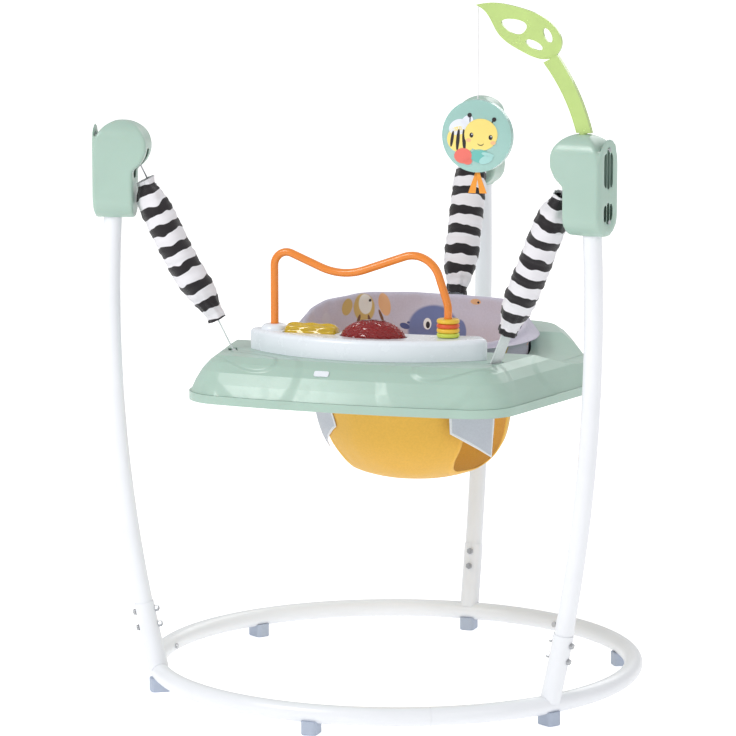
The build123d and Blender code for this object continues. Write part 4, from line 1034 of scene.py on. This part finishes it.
# ------------------------------------------------------------------ pendant
BEE = (  # across, up, half width, half height, turn, finish, layer
    (-28, 14, 17, 12, 20, "wing white", 1), (-14, 22, 12, 9, 50, "wing white", 1),
    (-24, -6, 24, 21, -8, "face yellow", 1),
    (-39, -5, 2.6, 13, -10, "dark", 2), (-29, -6, 3.0, 17, -6, "dark", 2), (-18.5, -6, 3.0, 17, 2, "dark",
                                                                            2),
    (9, 3, 27, 25, 0, "face yellow", 3), (-10, 33, 3.6, 3.6, 0, "dark", 3), (30, 27, 3.4, 3.4, 0, "dark", 3),
    (-9, 27.5, 0.9, 6, 0, "dark", 2), (27, 22.5, 0.9, 5, -18, "dark", 2),
    (-6, 2, 3.1, 3.9, 0, "dark", 4), (25, -1, 3.1, 3.9, 0, "dark", 4),
    (-5, 3.4, 0.9, 1.1, 0, "wing white", 5), (26, 0.4, 0.9, 1.1, 0, "wing white", 5),
    (-11, -6, 4.2, 3.0, 0, "blush", 4), (29, -9.5, 4.2, 3.0, 0, "blush", 4),
    (9, -11, 5.0, 3.2, 0, "dark", 4), (9, -9.8, 5.0, 3.0, 0, "face yellow", 5),
    (-21, -31, 15, 12, 12, "coral", 4), (-14, -39, 8, 6, 0, "coral", 4),
    (8, -31, 16, 11, -6, "teal", 3), (17, -36, 12, 6, 24, "pale teal", 5), (20, -28, 10, 3, -12,
                                                                            "pale teal", 5))


class JUMPER_OT_pendant(bpy.types.Operator):
    """Model the pendant's printed bee, its string and its ribbon"""
    bl_idname = "jumper.pendant"
    bl_label = "Model pendant"

    def execute(self, context):
        low, high = (Vector(c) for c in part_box("pendant_front"))
        centre = Vector(((low.x + high.x) / 2, high.y, (low.z + high.z) / 2))
        radius = (high.x - low.x) / 2
        depth = high.y - low.y
        rise = depth - 0.0058
        ball = (radius ** 2 + rise ** 2) / (2 * rise)
        prints = []
        for number, (across, up, wide, tall, turn, finish, layer) in enumerate(BEE):
            clear_selection()
            bpy.ops.mesh.primitive_circle_add(vertices=40, radius=1, fill_type="TRIFAN")
            oval = started(f"bee_print_{number}")
            finish_modifier(oval, "SUBSURF", levels=2, render_levels=2, subdivision_type="SIMPLE")
            swing = math.radians(turn)
            for vertex in oval.data.vertices:
                right, rise_up = vertex.co.x * wide, vertex.co.y * tall
                x = (across + right * math.cos(swing) - rise_up * math.sin(swing)) * MM
                z = (up + right * math.sin(swing) + rise_up * math.cos(swing)) * MM
                flat = min(math.hypot(x, z), radius * 0.985)
                forward = depth - ball + math.sqrt(ball ** 2 - flat ** 2)
                vertex.co = centre + Vector((x, -forward - (0.0002 + 0.00015 * layer), z))
            dress(oval, MATERIALS[finish])
            prints.append(oval)
        clear_selection()
        for oval in prints:
            oval.select_set(True)
        bpy.context.view_layer.objects.active = prints[0]
        bpy.ops.object.join()
        picture = bpy.context.object
        picture.name = picture.data.name = "bee_picture"
        smooth(picture, 60)
        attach(picture, "pendant")

        top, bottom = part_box("pendant_string")[1][2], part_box("pendant_string")[0][2]
        spot = middle("pendant_string")
        clear_selection()
        bpy.ops.curve.primitive_nurbs_path_add()
        string = bpy.context.object
        string.name = string.data.name = "pendant_cord"
        string.data.splines.clear()
        spline = string.data.splines.new("NURBS")
        spline.points.add(2)
        for point, height in zip(spline.points, (top, (top + bottom) / 2, bottom)):
            point.co = (spot.x, spot.y, height, 1)
        spline.order_u = 3
        spline.use_endpoint_u = True
        string.data.dimensions = "3D"
        string.data.bevel_depth = 0.001
        string.data.bevel_resolution = 3
        string.data.use_fill_caps = True
        dress(string, MATERIALS["string"])
        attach(string, "string")
        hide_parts("pendant_string")

        tag_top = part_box("pendant_tag")[1][2]
        tag = middle("pendant_tag")
        strips = []
        for side in (-1, 1):
            strip = patch(f"ribbon_strip_{side}", 6, 24)

            def place(u, v):
                spread = side * (1.5 + 7.5 * v)
                wide = (u - 0.5) * (5 + 7 * v)
                wave = 1.4 * math.sin(v * 3.2 + side) + 0.4 * side
                return (Vector((tag.x + (spread + wide) * MM, tag.y - wave * MM, tag_top - 0.033 * v)),
                        (u * 0.012, v * 0.034))

            shape_patch(strip, place)
            strips.append(strip)
        clear_selection()
        for strip in strips:
            strip.select_set(True)
        bpy.context.view_layer.objects.active = strips[0]
        bpy.ops.object.join()
        ribbon = bpy.context.object
        ribbon.name = ribbon.data.name = "pendant_ribbon"
        finish_modifier(ribbon, "SOLIDIFY", thickness=0.0006, offset=0)
        smooth(ribbon, 60)
        dress(ribbon, MATERIALS["ribbon"])
        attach(ribbon, "pendant")
        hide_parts("pendant_tag")
        return {"FINISHED"}


# ------------------------------------------------------------------ stage
LAMPS = (("Key light", (-2.2, -3.2, 3.4), 1.6, 78), ("Fill light", (3.4, -2.6, 1.9), 2.4, 14),
         ("Back light", (0.6, 3.4, 2.8), 2.2, 26))
CAMERA_AT = (1.97839, -5.66262 + RING_Y, 1.43829)
CAMERA_LOOKS = (-0.33310775, 0.93085134, -0.15018325)
CAMERA_LENS = 178.69


class JUMPER_OT_stage(bpy.types.Operator):
    """Set the pale floor, the soft light and the camera"""
    bl_idname = "jumper.stage"
    bl_label = "Set stage"

    def execute(self, context):
        clear_selection()
        bpy.ops.mesh.primitive_plane_add(size=90, location=(0, 0, -0.0004))
        floor = started("studio_floor")
        material, tree, shader = blank_material("Studio floor", Roughness=0.5, Specular_IOR_Level=0.2,
                                                Emission_Strength=0.62)
        seen = tree.nodes.new("ShaderNodeLightPath").outputs["Is Camera Ray"]
        glow = mix_colour(tree, seen, (0.45, 0.45, 0.45, 1.0), (1.0, 1.0, 1.0, 1.0))
        tree.links.new(glow, shader.inputs["Emission Color"])
        place = tree.nodes.new("ShaderNodeTexCoord")
        drift = noise_node(tree, place.outputs["Object"], 1.2)
        tree.links.new(mix_colour(tree, drift, tone(250, 250, 251), tone(253, 253, 253)),
                       shader.inputs["Base Color"])
        dress(floor, material)

        world = bpy.data.worlds.new("Studio sky")
        world.use_nodes = True
        sky = world.node_tree.nodes["Background"]
        sky.inputs["Color"].default_value = (1, 1, 1, 1)
        sky.inputs["Strength"].default_value = 0.62
        context.scene.world = world
        context.scene.view_settings.view_transform = "Standard"
        for name, spot, size, power in LAMPS:
            lamp = bpy.data.lights.new(name, "AREA")
            lamp.energy, lamp.size = power, size
            light = bpy.data.objects.new(name, lamp)
            light.location = spot
            light.rotation_euler = (Vector((0, RING_Y, 0.5)) - Vector(spot)).to_track_quat("-Z",
                                                                                           "Y").to_euler()
            context.collection.objects.link(light)

        lens = bpy.data.cameras.new("Front camera")
        lens.lens, lens.sensor_width = CAMERA_LENS, 36
        lens.clip_start, lens.clip_end = 0.1, 120
        camera = bpy.data.objects.new("Front camera", lens)
        camera.location = CAMERA_AT
        camera.rotation_euler = Vector(CAMERA_LOOKS).to_track_quat("-Z", "Y").to_euler()
        context.collection.objects.link(camera)
        context.scene.camera = camera
        return {"FINISHED"}


class JUMPER_PT_sidebar(bpy.types.Panel):
    """Lists the steps that dress the jumper"""
    bl_idname = "JUMPER_PT_sidebar"
    bl_label = "Baby jumper"
    bl_space_type = "VIEW_3D"
    bl_region_type = "UI"
    bl_category = "Jumper"

    def draw(self, context):
        for settings in (context.scene.jumper_colours, context.scene.jumper_sizes):
            for label in settings.__annotations__:
                self.layout.prop(settings, label)
        for step in STEPS:
            self.layout.operator(step.bl_idname)


STEPS = (JUMPER_OT_hard_pieces, JUMPER_OT_sleeves, JUMPER_OT_lining, JUMPER_OT_bucket, JUMPER_OT_toys,
         JUMPER_OT_pendant, JUMPER_OT_stage)
CLASSES = (JumperColours, JumperSizes, *STEPS, JUMPER_PT_sidebar)


def register():
    """Adds the classes and their settings."""
    for entry in CLASSES:
        bpy.utils.register_class(entry)
    bpy.types.Scene.jumper_colours = bpy.props.PointerProperty(type=JumperColours)
    bpy.types.Scene.jumper_sizes = bpy.props.PointerProperty(type=JumperSizes)


def unregister():
    """Takes the classes and their settings away."""
    del bpy.types.Scene.jumper_sizes
    del bpy.types.Scene.jumper_colours
    for entry in reversed(CLASSES):
        bpy.utils.unregister_class(entry)


def main():
    """Runs each step in order."""
    register()
    bpy.ops.jumper.hard_pieces()
    bpy.ops.jumper.sleeves()
    bpy.ops.jumper.lining()
    bpy.ops.jumper.bucket()
    bpy.ops.jumper.toys()
    bpy.ops.jumper.pendant()
    bpy.ops.jumper.stage()


if __name__ == "__main__":
    main()
